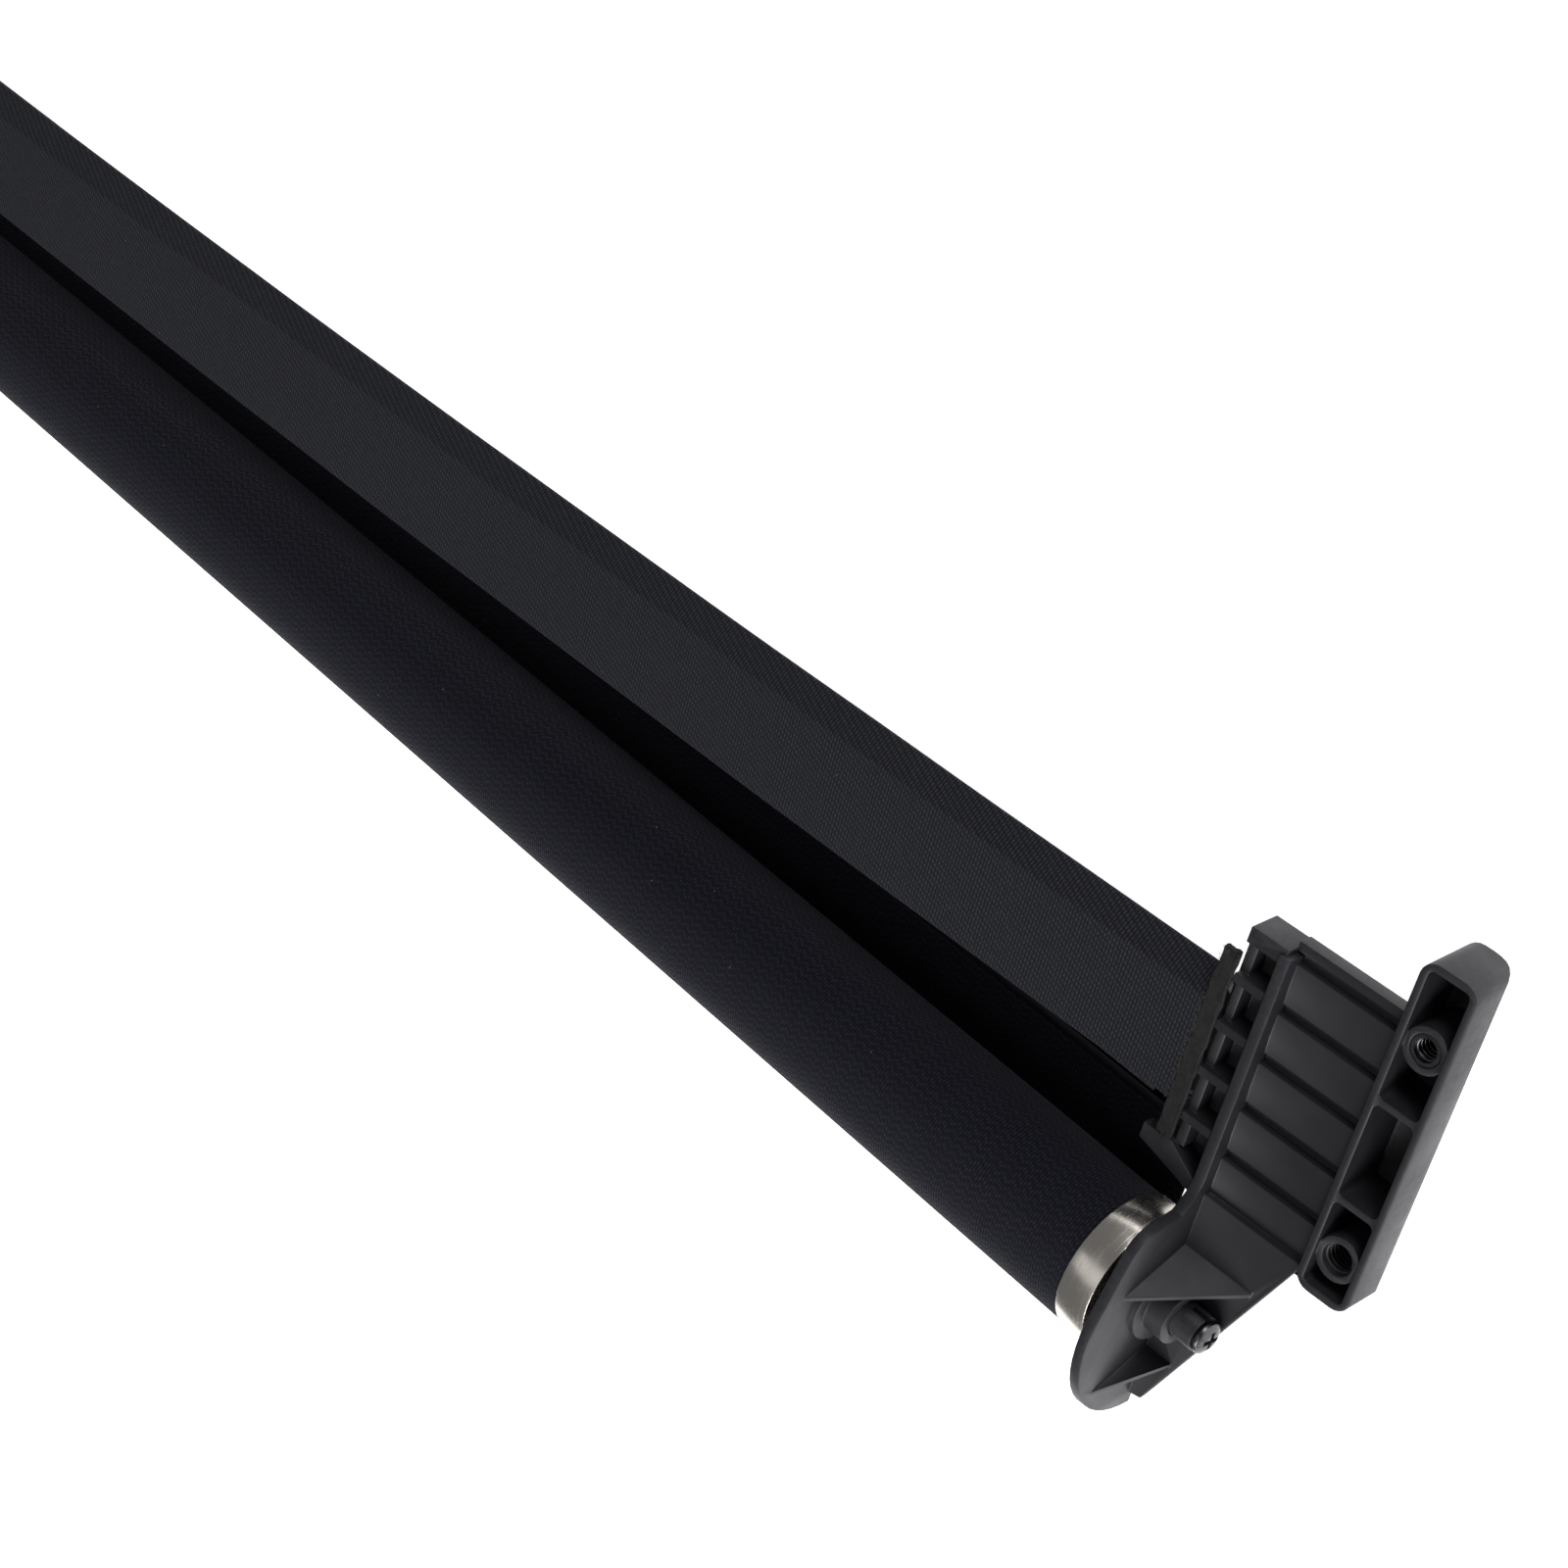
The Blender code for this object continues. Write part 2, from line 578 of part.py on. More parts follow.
def both_sides(name, obj, parts):
    """A left copy of a right piece: obj's evaluated mesh in world space, mirrored."""
    mesh = evaluated_mesh(obj, name)
    bm = bmesh.new()
    bm.from_mesh(mesh)
    bmesh.ops.transform(bm, matrix=obj.matrix_world, verts=bm.verts)
    bmesh.ops.scale(bm, vec=(-1, 1, 1), verts=bm.verts)
    bmesh.ops.reverse_faces(bm, faces=bm.faces)
    left_end = AXIS - Vector((HALF_SPAN, 0, 0))
    bmesh.ops.translate(bm, vec=-left_end, verts=bm.verts)
    bm.to_mesh(mesh)
    bm.free()
    return add_object(name, mesh, parts, Matrix.Translation(left_end))


def add_end_pieces(parts, cutters, straight, tilted):
    """Stub, screw, felt and thread insert at the right end, each with its left twin."""
    made = []
    round_bar = cylinder_mesh("stub", STUB_RADIUS, STUB_INNER_END, STUB_END)
    stub = add_object("right_axle_stub", round_bar, parts, straight)
    stub.data.materials.append(material("moulded_plastic"))
    slot = box_mesh("stub_slot", (STUB_END - STUB_SLOT_DEPTH, -0.01, -STUB_SLOT_WIDTH / 2),
                    (STUB_END + 0.002, 0.01, STUB_SLOT_WIDTH / 2))
    slot_cut = add_object("stub_slot", slot, cutters, straight)
    pilot = cylinder_mesh("stub_pilot", SCREW_RADIUS + GAP, STUB_END - SCREW_LENGTH - GAP,
                          STUB_END + 0.002, 20)
    pilot_cut = add_object("stub_pilot", pilot, cutters, straight)
    for cut in (slot_cut, pilot_cut):
        hide_helper(cut)
        boolean(stub, cut, "DIFFERENCE")
    made.append(stub)

    seat = STUB_END + GAP
    crown = SCREW_HEAD_HEIGHT * 0.55
    profile = [(seat + SCREW_HEAD_HEIGHT, 0), (seat + SCREW_HEAD_HEIGHT * 0.93, SCREW_HEAD_RADIUS * 0.55),
               (seat + crown, SCREW_HEAD_RADIUS * 0.95), (seat + crown * 0.45, SCREW_HEAD_RADIUS),
               (seat, SCREW_HEAD_RADIUS * 0.97), (seat, SCREW_RADIUS),
               (STUB_END - SCREW_LENGTH, SCREW_RADIUS), (STUB_END - SCREW_LENGTH, 0)]
    screw = turned("right_axle_screw", profile, parts, "dark_steel", straight)
    top = seat + SCREW_HEAD_HEIGHT
    for i, (half_y, half_z) in enumerate(((RECESS_LENGTH, RECESS_WIDTH), (RECESS_WIDTH, RECESS_LENGTH))):
        arm = box_mesh("recess", (top - RECESS_DEPTH, -half_y / 2, -half_z / 2),
                       (top + 0.001, half_y / 2, half_z / 2))
        recess = add_object(f"screw_recess_{i}", arm, cutters, straight)
        hide_helper(recess)
        boolean(screw, recess, "DIFFERENCE")
    made.append(screw)

    felt_low = (FELT_INNER, FELT_BOTTOM, FELT_FRONT - FELT_DEPTH + GAP)
    felt = box_mesh("felt", felt_low, (-PLUG_REACH - GAP, FELT_TOP, FELT_FRONT))
    felt_strip = add_object("right_felt_strip", felt, parts, tilted)
    felt_strip.data.materials.append(material("felt"))
    made.append(felt_strip)

    centre = boss_centres()[0]
    top = FOOT_RIM - BOSS_RECESS
    outer = BOSS_HOLE_RADIUS - GAP / 2
    insert_mesh = post_mesh("insert", outer, centre, top - INSERT_LENGTH, top - GAP)
    insert = add_object("right_thread_insert", insert_mesh, parts, tilted)
    insert.data.materials.append(material("zinc"))
    hole = post_mesh("insert_hole", outer - INSERT_WALL, centre, top - INSERT_LENGTH - 0.002, top + 0.002)
    hole_cut = add_object("insert_hole", hole, cutters, tilted)
    hide_helper(hole_cut)
    boolean(insert, hole_cut, "DIFFERENCE")
    made.append(insert)
    for piece in made:
        both_sides(piece.name.replace("right", "left"), piece, parts)


def add_roller(parts, straight):
    """Tube, wound curtain, retaining strip, end sleeves and their bushes."""
    middle = Matrix.Translation(AXIS)
    tube_half = HALF_SPAN - SLEEVE_GAP - SLEEVE_WEB - GAP
    inner = TUBE_RADIUS - TUBE_WALL
    turned("roller_tube", [(tube_half, TUBE_RADIUS), (-tube_half, TUBE_RADIUS), (-tube_half, inner),
                           (tube_half, inner)], parts, "aluminium", middle)
    roll_inner = TUBE_RADIUS + STRIP_THICKNESS + 2 * GAP
    turned("wound_curtain", [(CURTAIN_HALF_WIDTH, ROLL_RADIUS), (-CURTAIN_HALF_WIDTH, ROLL_RADIUS),
                             (-CURTAIN_HALF_WIDTH, roll_inner), (CURTAIN_HALF_WIDTH, roll_inner)],
           parts, "curtain_fabric", middle)
    angle = STRIP_WIDTH / TUBE_RADIUS
    low = TUBE_RADIUS + GAP
    edge = arc((0, 0), low, math.degrees(-angle / 2), math.degrees(angle / 2), 4)
    outer = arc((0, 0), low + STRIP_THICKNESS, math.degrees(angle / 2), math.degrees(-angle / 2), 4)
    strip = slab_mesh("strip", edge + outer, 2 * CURTAIN_HALF_WIDTH, across_x(0))
    strip_object = add_object("curtain_fixing_tape", strip, parts, middle)
    strip_object.data.materials.append(material("felt"))

    end = -SLEEVE_GAP
    hub = inner - GAP
    bore = STUB_RADIUS + RUNNING_CLEARANCE + BUSH_WALL + GAP
    rim_start = CURTAIN_HALF_WIDTH - HALF_SPAN + GAP
    rim_inner = ROLL_RADIUS - SLEEVE_WALL
    sleeve = [(end, bore), (end, ROLL_RADIUS), (rim_start, ROLL_RADIUS), (rim_start, rim_inner),
              (end - SLEEVE_WEB, rim_inner), (end - SLEEVE_WEB, hub), (SLEEVE_HUB_END, hub),
              (SLEEVE_HUB_END, hub - 0.002),
              (end - 2 * SLEEVE_WEB, hub - 0.002), (end - 2 * SLEEVE_WEB, bore + 0.0015),
              (BUSH_INNER_END, bore + 0.0015), (BUSH_INNER_END, bore)]
    right_sleeve = turned("right_end_sleeve", sleeve, parts, "nickel", straight)
    bush_inner = STUB_RADIUS + RUNNING_CLEARANCE
    bush_outer = bore - GAP
    flange = end + GAP
    bush = [(flange + 0.0008, bush_inner), (flange + 0.0008, bush_outer + 0.0012),
            (flange, bush_outer + 0.0012), (flange, bush_outer),
            (BUSH_INNER_END, bush_outer), (BUSH_INNER_END, bush_inner)]
    right_bush = turned("right_axle_bush", bush, parts, "acetal", straight)
    both_sides("left_end_sleeve", right_sleeve, parts)
    both_sides("left_axle_bush", right_bush, parts)


def add_spring_drive(parts, straight):
    """Arbor held by the right stub, anchor on it, coil spring, and the plug that the spring turns."""
    arbor = cylinder_mesh("arbor", ARBOR_RADIUS, ARBOR_END, STUB_INNER_END - GAP, 24)
    add_object("spring_arbor", arbor, parts, straight).data.materials.append(material("zinc"))
    anchor_end = ANCHOR_START - ANCHOR_LENGTH
    seat = ARBOR_RADIUS + GAP
    anchor = [(ANCHOR_START, seat), (ANCHOR_START, ANCHOR_RADIUS), (anchor_end, ANCHOR_RADIUS),
              (anchor_end, seat)]
    turned("spring_anchor", anchor, parts, "acetal", straight)
    start = anchor_end - GAP - SPRING_WIRE
    curve = bpy.data.curves.new("torsion_spring", "CURVE")
    curve.dimensions = "3D"
    curve.bevel_depth = SPRING_WIRE
    curve.bevel_resolution = 2
    curve.use_fill_caps = True
    count = SPRING_TURNS * SPRING_POINTS_PER_TURN + 1
    spline = curve.splines.new("POLY")
    spline.points.add(count - 1)
    for i, point in enumerate(spline.points):
        angle = 2 * math.pi * i / SPRING_POINTS_PER_TURN
        x = start - SPRING_LENGTH * i / (count - 1)
        point.co = (x, SPRING_RADIUS * math.cos(angle), SPRING_RADIUS * math.sin(angle), 1)
    spring = add_object("torsion_spring", curve, parts, straight)
    curve.materials.append(material("spring_steel"))
    plug_start = start - SPRING_LENGTH - SPRING_WIRE - GAP
    plug_end = plug_start - DRIVE_PLUG_LENGTH
    plug_outer = TUBE_RADIUS - TUBE_WALL - GAP
    bore = ARBOR_RADIUS + RUNNING_CLEARANCE
    plug = [(plug_start, bore), (plug_start, plug_outer), (plug_end, plug_outer), (plug_end, bore)]
    turned("spring_drive_plug", plug, parts, "acetal", straight)
    return spring


def slice_and_crown(mesh):
    """Cuts the beam across at even steps and lifts it to its crown."""
    bm = bmesh.new()
    bm.from_mesh(mesh)
    for i in range(1, BEAM_SLICES):
        x = -BEAM_HALF_LENGTH + 2 * BEAM_HALF_LENGTH * i / BEAM_SLICES
        everything = bm.verts[:] + bm.edges[:] + bm.faces[:]
        bmesh.ops.bisect_plane(bm, geom=everything, plane_co=(x, 0, 0), plane_no=(1, 0, 0), dist=1e-7)
    for vert in bm.verts:
        vert.co.z += BEAM_LIFT + BEAM_CROWN * (1 - (vert.co.x / BEAM_HALF_LENGTH) ** 2)
    bm.to_mesh(mesh)
    bm.free()


def ribbon_mesh(name, outline, closed):
    """An outline in (y, z) drawn out along the beam as a thin surface."""
    bm = bmesh.new()
    rows = []
    for x in (-BEAM_HALF_LENGTH, BEAM_HALF_LENGTH):
        rows.append([bm.verts.new((x, y, z)) for y, z in outline])
    count = len(outline)
    for i in range(count if closed else count - 1):
        j = (i + 1) % count
        bm.faces.new((rows[0][i], rows[0][j], rows[1][j], rows[1][i]))
    bmesh.ops.recalc_face_normals(bm, faces=bm.faces)
    return mesh_from(bm, name)


def solidify(obj, thickness, offset):
    modifier = obj.modifiers.new("Wall", "SOLIDIFY")
    modifier.thickness = thickness
    modifier.offset = offset
    modifier.use_even_offset = True


def add_beam(parts):
    """The hollow beam and the fabric wrapped round it, both with the crown."""
    middle = Matrix.Translation(AXIS)
    core_outline = offset_outline(list(BEAM_OUTLINE), -BEAM_COVER - GAP)
    core = ribbon_mesh("beam_core", core_outline, True)
    slice_and_crown(core)
    core_object = add_object("beam_core", core, parts, middle)
    core_object.data.materials.append(material("beam_plastic"))
    solidify(core_object, BEAM_WALL, -1)

    around = offset_outline(list(BEAM_OUTLINE), -BEAM_COVER)
    low_turn = (around[0][0] + COVER_TURN_IN * 1.6, around[0][1])
    high_turn = (around[-1][0] - COVER_TURN_IN, around[-1][1])
    cover = ribbon_mesh("beam_cover", [low_turn] + around + [high_turn], False)
    slice_and_crown(cover)
    cover_object = add_object("beam_cover", cover, parts, middle)
    cover_object.data.materials.append(material("beam_fabric"))
    solidify(cover_object, BEAM_COVER, outward_side(cover))


def outward_side(mesh):
    """Solidify's offset that grows away from the beam's middle line."""
    face = max(mesh.polygons, key=lambda polygon: polygon.center.z)
    return 1 if face.normal.z > 0 else -1


def add_pull_bar(parts, cutters):
    """Bar, hem, grip, end gliders and the curtain from the roll to the bar."""
    middle = Matrix.Translation(AXIS)
    low_z = CURTAIN_Z - BAR_THICKNESS / 2
    high_z = CURTAIN_Z + BAR_THICKNESS / 2
    end_y = BAR_START_Y + BAR_WIDTH
    bar = add_object("pull_bar", box_mesh("pull_bar", (-BAR_HALF_LENGTH, BAR_START_Y, low_z),
                                          (BAR_HALF_LENGTH, end_y, high_z)), parts, middle)
    bar.data.materials.append(material("aluminium"))
    groove_low = BAR_START_Y + (BAR_WIDTH - BAR_GROOVE_WIDTH) / 2
    groove_box = box_mesh("bar_groove", (-0.6, groove_low, high_z - BAR_GROOVE_DEPTH),
                          (0.6, groove_low + BAR_GROOVE_WIDTH, high_z + 0.002))
    groove = add_object("bar_groove", groove_box, cutters, middle)
    hide_helper(groove)
    boolean(bar, groove, "DIFFERENCE")
    hem = box_mesh("hem", (-BAR_HALF_LENGTH + 0.004, groove_low + GAP, high_z - BAR_GROOVE_DEPTH + GAP),
                   (BAR_HALF_LENGTH - 0.004, groove_low + BAR_GROOVE_WIDTH - GAP, high_z - GAP))
    add_object("hem_strip", hem, parts, middle).data.materials.append(material("beam_plastic"))

    grip = [(end_y + GAP, low_z), (end_y + GRIP_REACH, low_z + 0.0004), (end_y + GRIP_REACH, high_z - 0.0014),
            (end_y + GRIP_REACH * 0.55, high_z - 0.0019), (end_y + GAP, high_z)]
    add_object("pull_grip", slab_mesh("pull_grip", grip, 2 * GRIP_HALF_LENGTH, across_x(0)), parts,
               middle).data.materials.append(material("moulded_plastic"))

    start = BAR_HALF_LENGTH + GAP
    arm_y = BAR_START_Y + BAR_WIDTH * 0.25
    shoe_x = start + GLIDER_LENGTH - GLIDER_SHOE
    outline = [(start, BAR_START_Y), (start, end_y), (start + 0.008, end_y), (start + 0.012, end_y - 0.005),
               (shoe_x, end_y - 0.005), (shoe_x, end_y), (start + GLIDER_LENGTH, end_y),
               (start + GLIDER_LENGTH, BAR_START_Y), (shoe_x, BAR_START_Y), (shoe_x, arm_y),
               (start + 0.012, arm_y), (start + 0.008, BAR_START_Y)]
    glider_mesh = slab_mesh("glider", outline, BAR_THICKNESS, across_z(CURTAIN_Z))
    glider = add_object("right_glider", glider_mesh, parts, middle)
    glider.data.materials.append(material("moulded_plastic"))
    mirror_mesh = mirrored(glider.data, "left_glider")
    add_object("left_glider", mirror_mesh, parts, middle)

    panel = box_mesh("curtain_panel", (-CURTAIN_HALF_WIDTH, GAP, CURTAIN_Z - CURTAIN_THICKNESS - GAP),
                     (CURTAIN_HALF_WIDTH, BAR_START_Y - GAP, CURTAIN_Z - GAP))
    add_object("curtain_panel", panel, parts, middle).data.materials.append(material("curtain_fabric"))


def main():
    clear_scene()
    parts = make_collection("roller_blind")
    cutters = make_collection("cutters")
    straight, tilted = add_brackets(parts, cutters)
    add_end_pieces(parts, cutters, straight, tilted)
    add_roller(parts, straight)
    add_spring_drive(parts, straight)
    add_beam(parts)
    add_pull_bar(parts, cutters)
    for obj in parts.objects:
        if obj.type == "MESH":
            obj.data.shade_smooth()
            obj.data.set_sharp_from_angle(angle=math.radians(35))


main()
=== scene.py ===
"""Looks of the roller blind: its cloth, mouldings, metal and studio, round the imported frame."""

import json
import math
import random

import bpy
from mathutils import Matrix, Vector, noise


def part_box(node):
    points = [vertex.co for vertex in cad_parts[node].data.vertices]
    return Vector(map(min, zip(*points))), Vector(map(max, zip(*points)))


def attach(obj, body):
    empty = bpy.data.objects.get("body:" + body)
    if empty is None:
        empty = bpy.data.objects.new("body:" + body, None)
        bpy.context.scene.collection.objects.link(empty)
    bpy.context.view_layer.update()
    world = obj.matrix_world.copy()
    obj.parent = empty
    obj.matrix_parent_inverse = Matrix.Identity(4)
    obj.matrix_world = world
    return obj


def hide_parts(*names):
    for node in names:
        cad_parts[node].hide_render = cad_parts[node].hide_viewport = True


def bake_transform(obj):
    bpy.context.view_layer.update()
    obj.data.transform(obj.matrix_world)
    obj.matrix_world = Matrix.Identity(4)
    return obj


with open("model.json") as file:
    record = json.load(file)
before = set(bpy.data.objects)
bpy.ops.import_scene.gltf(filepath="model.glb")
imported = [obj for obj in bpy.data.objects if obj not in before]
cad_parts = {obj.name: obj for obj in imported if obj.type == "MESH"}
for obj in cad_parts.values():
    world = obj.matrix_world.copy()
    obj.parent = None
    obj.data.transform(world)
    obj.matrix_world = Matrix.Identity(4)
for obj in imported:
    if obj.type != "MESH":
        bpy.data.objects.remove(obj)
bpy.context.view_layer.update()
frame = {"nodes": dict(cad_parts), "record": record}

# Sizes that the pieces share with the blind's frame, in metres
RIGHT_SLEEVE_LOW, RIGHT_SLEEVE_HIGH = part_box("right_end_sleeve")
SPIN_JOINT = next(j for j in frame["record"]["behaviour"]["joints"] if j["name"] == "roller_spin")
AXIS_Y, AXIS_Z = SPIN_JOINT["pos_m"][1:]
CHEEK_X = RIGHT_SLEEVE_HIGH[0] + 0.0045  # the outer face of the cheek
ROLL_RADIUS = RIGHT_SLEEVE_HIGH[2] - AXIS_Z
BRACKET_TILT = math.radians(4.3)

# Cloth
CLOTH_THICKNESS = 0.0003
TURN_PITCH = 0.00035
RUN_CLEARANCE = 0.00005  # keeps the curtain run off the roll as it turns
ROLL_TURNS = 8.3
COVER_THICKNESS = 0.0005
# y and z from the roller's axis, at the beam's ends
COVER_SECTION = ((0.0430, -0.0125), (0.0350, -0.0125), (0.0392, -0.0008), (0.0632, -0.0008),
                 (0.0688, -0.0055), (0.0615, -0.0125), (0.0535, -0.0125))
COVER_CREASE_RADIUS = 0.0011
BEAM_HALF_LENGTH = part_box("beam_cover")[1][0]
BEAM_CROWN = BEAM_HALF_LENGTH * math.tan(BRACKET_TILT) / 2
BEAM_LIFT = (CHEEK_X - 0.0003 - BEAM_HALF_LENGTH) * math.sin(BRACKET_TILT)

# Mouldings' edge radii
MOULDING_EDGE = 0.00022
SMALL_EDGE = 0.00012

# Foot bosses, measured from the roller's axis at the cheek's outer face
BOSS_X = 0.0296
BOSS_YS = (0.0790, 0.0302)
BOSS_TOP = -0.0032
THREAD_PITCH = 0.00125

# The camera, from the roller's axis at the right cheek's outer face
CAMERA_PLACE = Vector((0.26715, 0.39217, 0.46979))
CAMERA_RIGHT = Vector((0.64807, 0.23956, -0.72292))
CAMERA_UP = Vector((-0.51908, 0.83354, -0.18912))
CAMERA_BACK = Vector((0.55728, 0.49782, 0.66455))
CAMERA_LENS = 77.74

TABLE_GLOW = 0.86  # a lit table, which keeps the shadows round the blind pale


# --- studio ---------------------------------------------------------------------------------------


def add_camera():
    camera = bpy.data.cameras.new("camera")
    camera.lens = CAMERA_LENS
    camera.sensor_width = 36
    camera.clip_start = 0.02
    holder = bpy.data.objects.new("camera", camera)
    turn = Matrix((CAMERA_RIGHT, CAMERA_UP, CAMERA_BACK)).transposed().to_4x4()
    holder.matrix_world = Matrix.Translation(Vector((CHEEK_X, AXIS_Y, AXIS_Z)) + CAMERA_PLACE) @ turn
    bpy.context.scene.collection.objects.link(holder)
    bpy.context.scene.camera = holder


def add_softbox(name, place, target, size, power, colour=(1, 1, 1)):
    light = bpy.data.lights.new(name, "AREA")
    light.shape = "RECTANGLE"
    light.size, light.size_y = size
    light.energy = power
    light.color = colour
    holder = bpy.data.objects.new(name, light)
    holder.location = place
    holder.rotation_euler = (Vector(target) - Vector(place)).to_track_quat("-Z", "Y").to_euler()
    bpy.context.scene.collection.objects.link(holder)


def add_studio():
    scene = bpy.context.scene
    scene.view_settings.view_transform = "Standard"
    world = bpy.data.worlds.new("studio")
    world.use_nodes = True
    backdrop = world.node_tree.nodes["Background"]
    backdrop.inputs["Color"].default_value = (0.97, 0.98, 1.0, 1)
    backdrop.inputs["Strength"].default_value = 0.15
    scene.world = world
    add_softbox("key_softbox", (1.30, -1.05, 1.05), (0.2, 0.0, 0.0), (1.3, 1.3), 40)
    add_softbox("front_softbox", (1.10, 1.50, 0.55), (0.2, 0.0, 0.0), (1.2, 0.6), 15)
    add_softbox("top_softbox", (0.0, 0.1, 1.8), (0.0, 0.0, 0.0), (2.2, 0.8), 3)

    bpy.ops.object.select_all(action="DESELECT")
    bpy.ops.mesh.primitive_plane_add(size=7, location=(0, 0, 0))
    floor = bpy.context.object
    floor.name = floor.data.name = "floor"
    bpy.ops.object.transform_apply(location=True)
    floor.data.materials.append(paper_floor())


# --- material helpers -----------------------------------------------------------------------------


class Nodes:
    """Adds nodes to a tree and links them in one call each."""

    def __init__(self, tree):
        self.tree = tree

    def add(self, kind, inputs=None, **settings):
        node = self.tree.nodes.new(kind)
        for key, value in settings.items():
            setattr(node, key, value)
        for key, value in (inputs or {}).items():
            self.feed(node.inputs[key], value)
        return node

    def feed(self, socket, value):
        if isinstance(value, bpy.types.NodeSocket):
            self.tree.links.new(value, socket)
        else:
            socket.default_value = value

    def math(self, operation, *values):
        node = self.add("ShaderNodeMath", operation=operation)
        for socket, value in zip(node.inputs, values):
            self.feed(socket, value)
        return node.outputs[0]

    def mix(self, factor, a, b):
        node = self.add("ShaderNodeMix", data_type="FLOAT")
        self.feed(node.inputs[0], factor)
        self.feed(node.inputs[2], a)
        self.feed(node.inputs[3], b)
        return node.outputs[0]

    def mix_colour(self, factor, a, b):
        node = self.add("ShaderNodeMix", data_type="RGBA")
        self.feed(node.inputs[0], factor)
        self.feed(node.inputs[6], a)
        self.feed(node.inputs[7], b)
        return node.outputs[2]

    def noise(self, vector, scale, detail=2.0, roughness=0.5):
        inputs = {"Vector": vector, "Scale": scale, "Detail": detail, "Roughness": roughness}
        return self.add("ShaderNodeTexNoise", inputs).outputs["Fac"]

    def ramp(self, value, low, high, to_low=0.0, to_high=1.0):
        inputs = {"Value": value, "From Min": low, "From Max": high, "To Min": to_low, "To Max": to_high}
        return self.add("ShaderNodeMapRange", inputs).outputs["Result"]

    def stretched(self, vector, scale):
        return self.add("ShaderNodeMapping", {"Vector": vector, "Scale": scale}).outputs["Vector"]


def new_group(name, inputs, outputs):
    """A node group with float inputs, a vector first, and float outputs."""
    tree = bpy.data.node_groups.new(name, "ShaderNodeTree")
    tree.interface.new_socket("Place", in_out="INPUT", socket_type="NodeSocketVector")
    for label, value in inputs.items():
        socket = tree.interface.new_socket(label, in_out="INPUT", socket_type="NodeSocketFloat")
        socket.default_value = value
    for label in outputs:
        tree.interface.new_socket(label, in_out="OUTPUT", socket_type="NodeSocketFloat")
    nodes = Nodes(tree)
    return nodes, nodes.add("NodeGroupInput").outputs, nodes.add("NodeGroupOutput").inputs


def woven_yarns():
    """Yarns over and under each other. Place is in metres, its x along the columns' spacing."""
    n, given, out = new_group(
        "woven_yarns",
        {"Column Pitch": 0.0008, "Row Pitch": 0.0004, "Zigzag": 0.0, "Repeat": 4.0, "Over": 2.0},
        ("Height", "Over Yarn", "Yarn Tone"),
    )
    wander = n.noise(given["Place"], 900.0, 1.0)
    split = n.add("ShaderNodeSeparateXYZ", {"Vector": given["Place"]}).outputs
    u = n.math("ADD", n.math("DIVIDE", split[0], given["Column Pitch"]), n.math("MULTIPLY", wander, 0.22))
    v = n.math("ADD", n.math("DIVIDE", split[1], given["Row Pitch"]), n.math("MULTIPLY", wander, 0.30))
    column, row = n.math("FLOOR", u), n.math("FLOOR", v)
    across, along = n.math("FRACT", u), n.math("FRACT", v)
    shift = n.mix(given["Zigzag"], column, n.math("PINGPONG", column, 2.0))
    step = n.math("FLOORED_MODULO", n.math("ADD", row, shift), given["Repeat"])
    over = n.math("LESS_THAN", step, given["Over"])
    float_place = n.math("DIVIDE", n.math("ADD", step, along), given["Over"])
    arch = n.math("SINE", n.math("MULTIPLY", float_place, math.pi))
    column_round = n.math("SINE", n.math("MULTIPLY", across, math.pi))
    row_round = n.math("SINE", n.math("MULTIPLY", along, math.pi))
    top = n.math("MULTIPLY", column_round, n.math("MULTIPLY_ADD", arch, 0.5, 0.5))
    under = n.math("MULTIPLY", n.math("MULTIPLY", row_round, column_round), 0.62)
    n.feed(out["Height"], n.mix(over, under, top))
    n.feed(out["Over Yarn"], over)
    pair = n.add("ShaderNodeCombineXYZ", {"X": column, "Y": n.math("MULTIPLY", row, 0.37)}).outputs[0]
    tone = n.add("ShaderNodeTexWhiteNoise", {"Vector": pair}, noise_dimensions="2D").outputs["Value"]
    n.feed(out["Yarn Tone"], tone)
    return n.tree


def moulded_grain():
    """Spark-eroded grain with soft patches of wear and rubbed edges."""
    n, given, out = new_group("moulded_grain", {"Grain Size": 0.00018, "Rub": 0.5},
                              ("Height", "Gloss Patch", "Rubbed"))
    scale = n.math("DIVIDE", 1.0, given["Grain Size"])
    n.feed(out["Height"], n.noise(given["Place"], scale, 2.0, 0.6))
    patch = n.noise(given["Place"], 65.0, 3.0, 0.6)
    n.feed(out["Gloss Patch"], n.ramp(patch, 0.35, 0.68))
    edge = n.add("ShaderNodeNewGeometry").outputs["Pointiness"]
    broken = n.noise(given["Place"], 700.0, 3.0, 0.6)
    worn = n.math("MULTIPLY", n.ramp(edge, 0.52, 0.60), n.ramp(broken, 0.35, 0.65))
    n.feed(out["Rubbed"], n.math("MULTIPLY", worn, given["Rub"]))
    return n.tree


def lint_flecks():
    """Sparse pale specks of dust and lint."""
    n, given, out = new_group("lint_flecks", {"Spacing": 0.006, "Size": 0.05}, ("Fleck",))
    inputs = {"Vector": given["Place"], "Scale": n.math("DIVIDE", 1.0, given["Spacing"])}
    distance = n.add("ShaderNodeTexVoronoi", inputs).outputs["Distance"]
    fleck = n.math("LESS_THAN", distance, given["Size"])
    n.feed(out["Fleck"], fleck)
    return n.tree


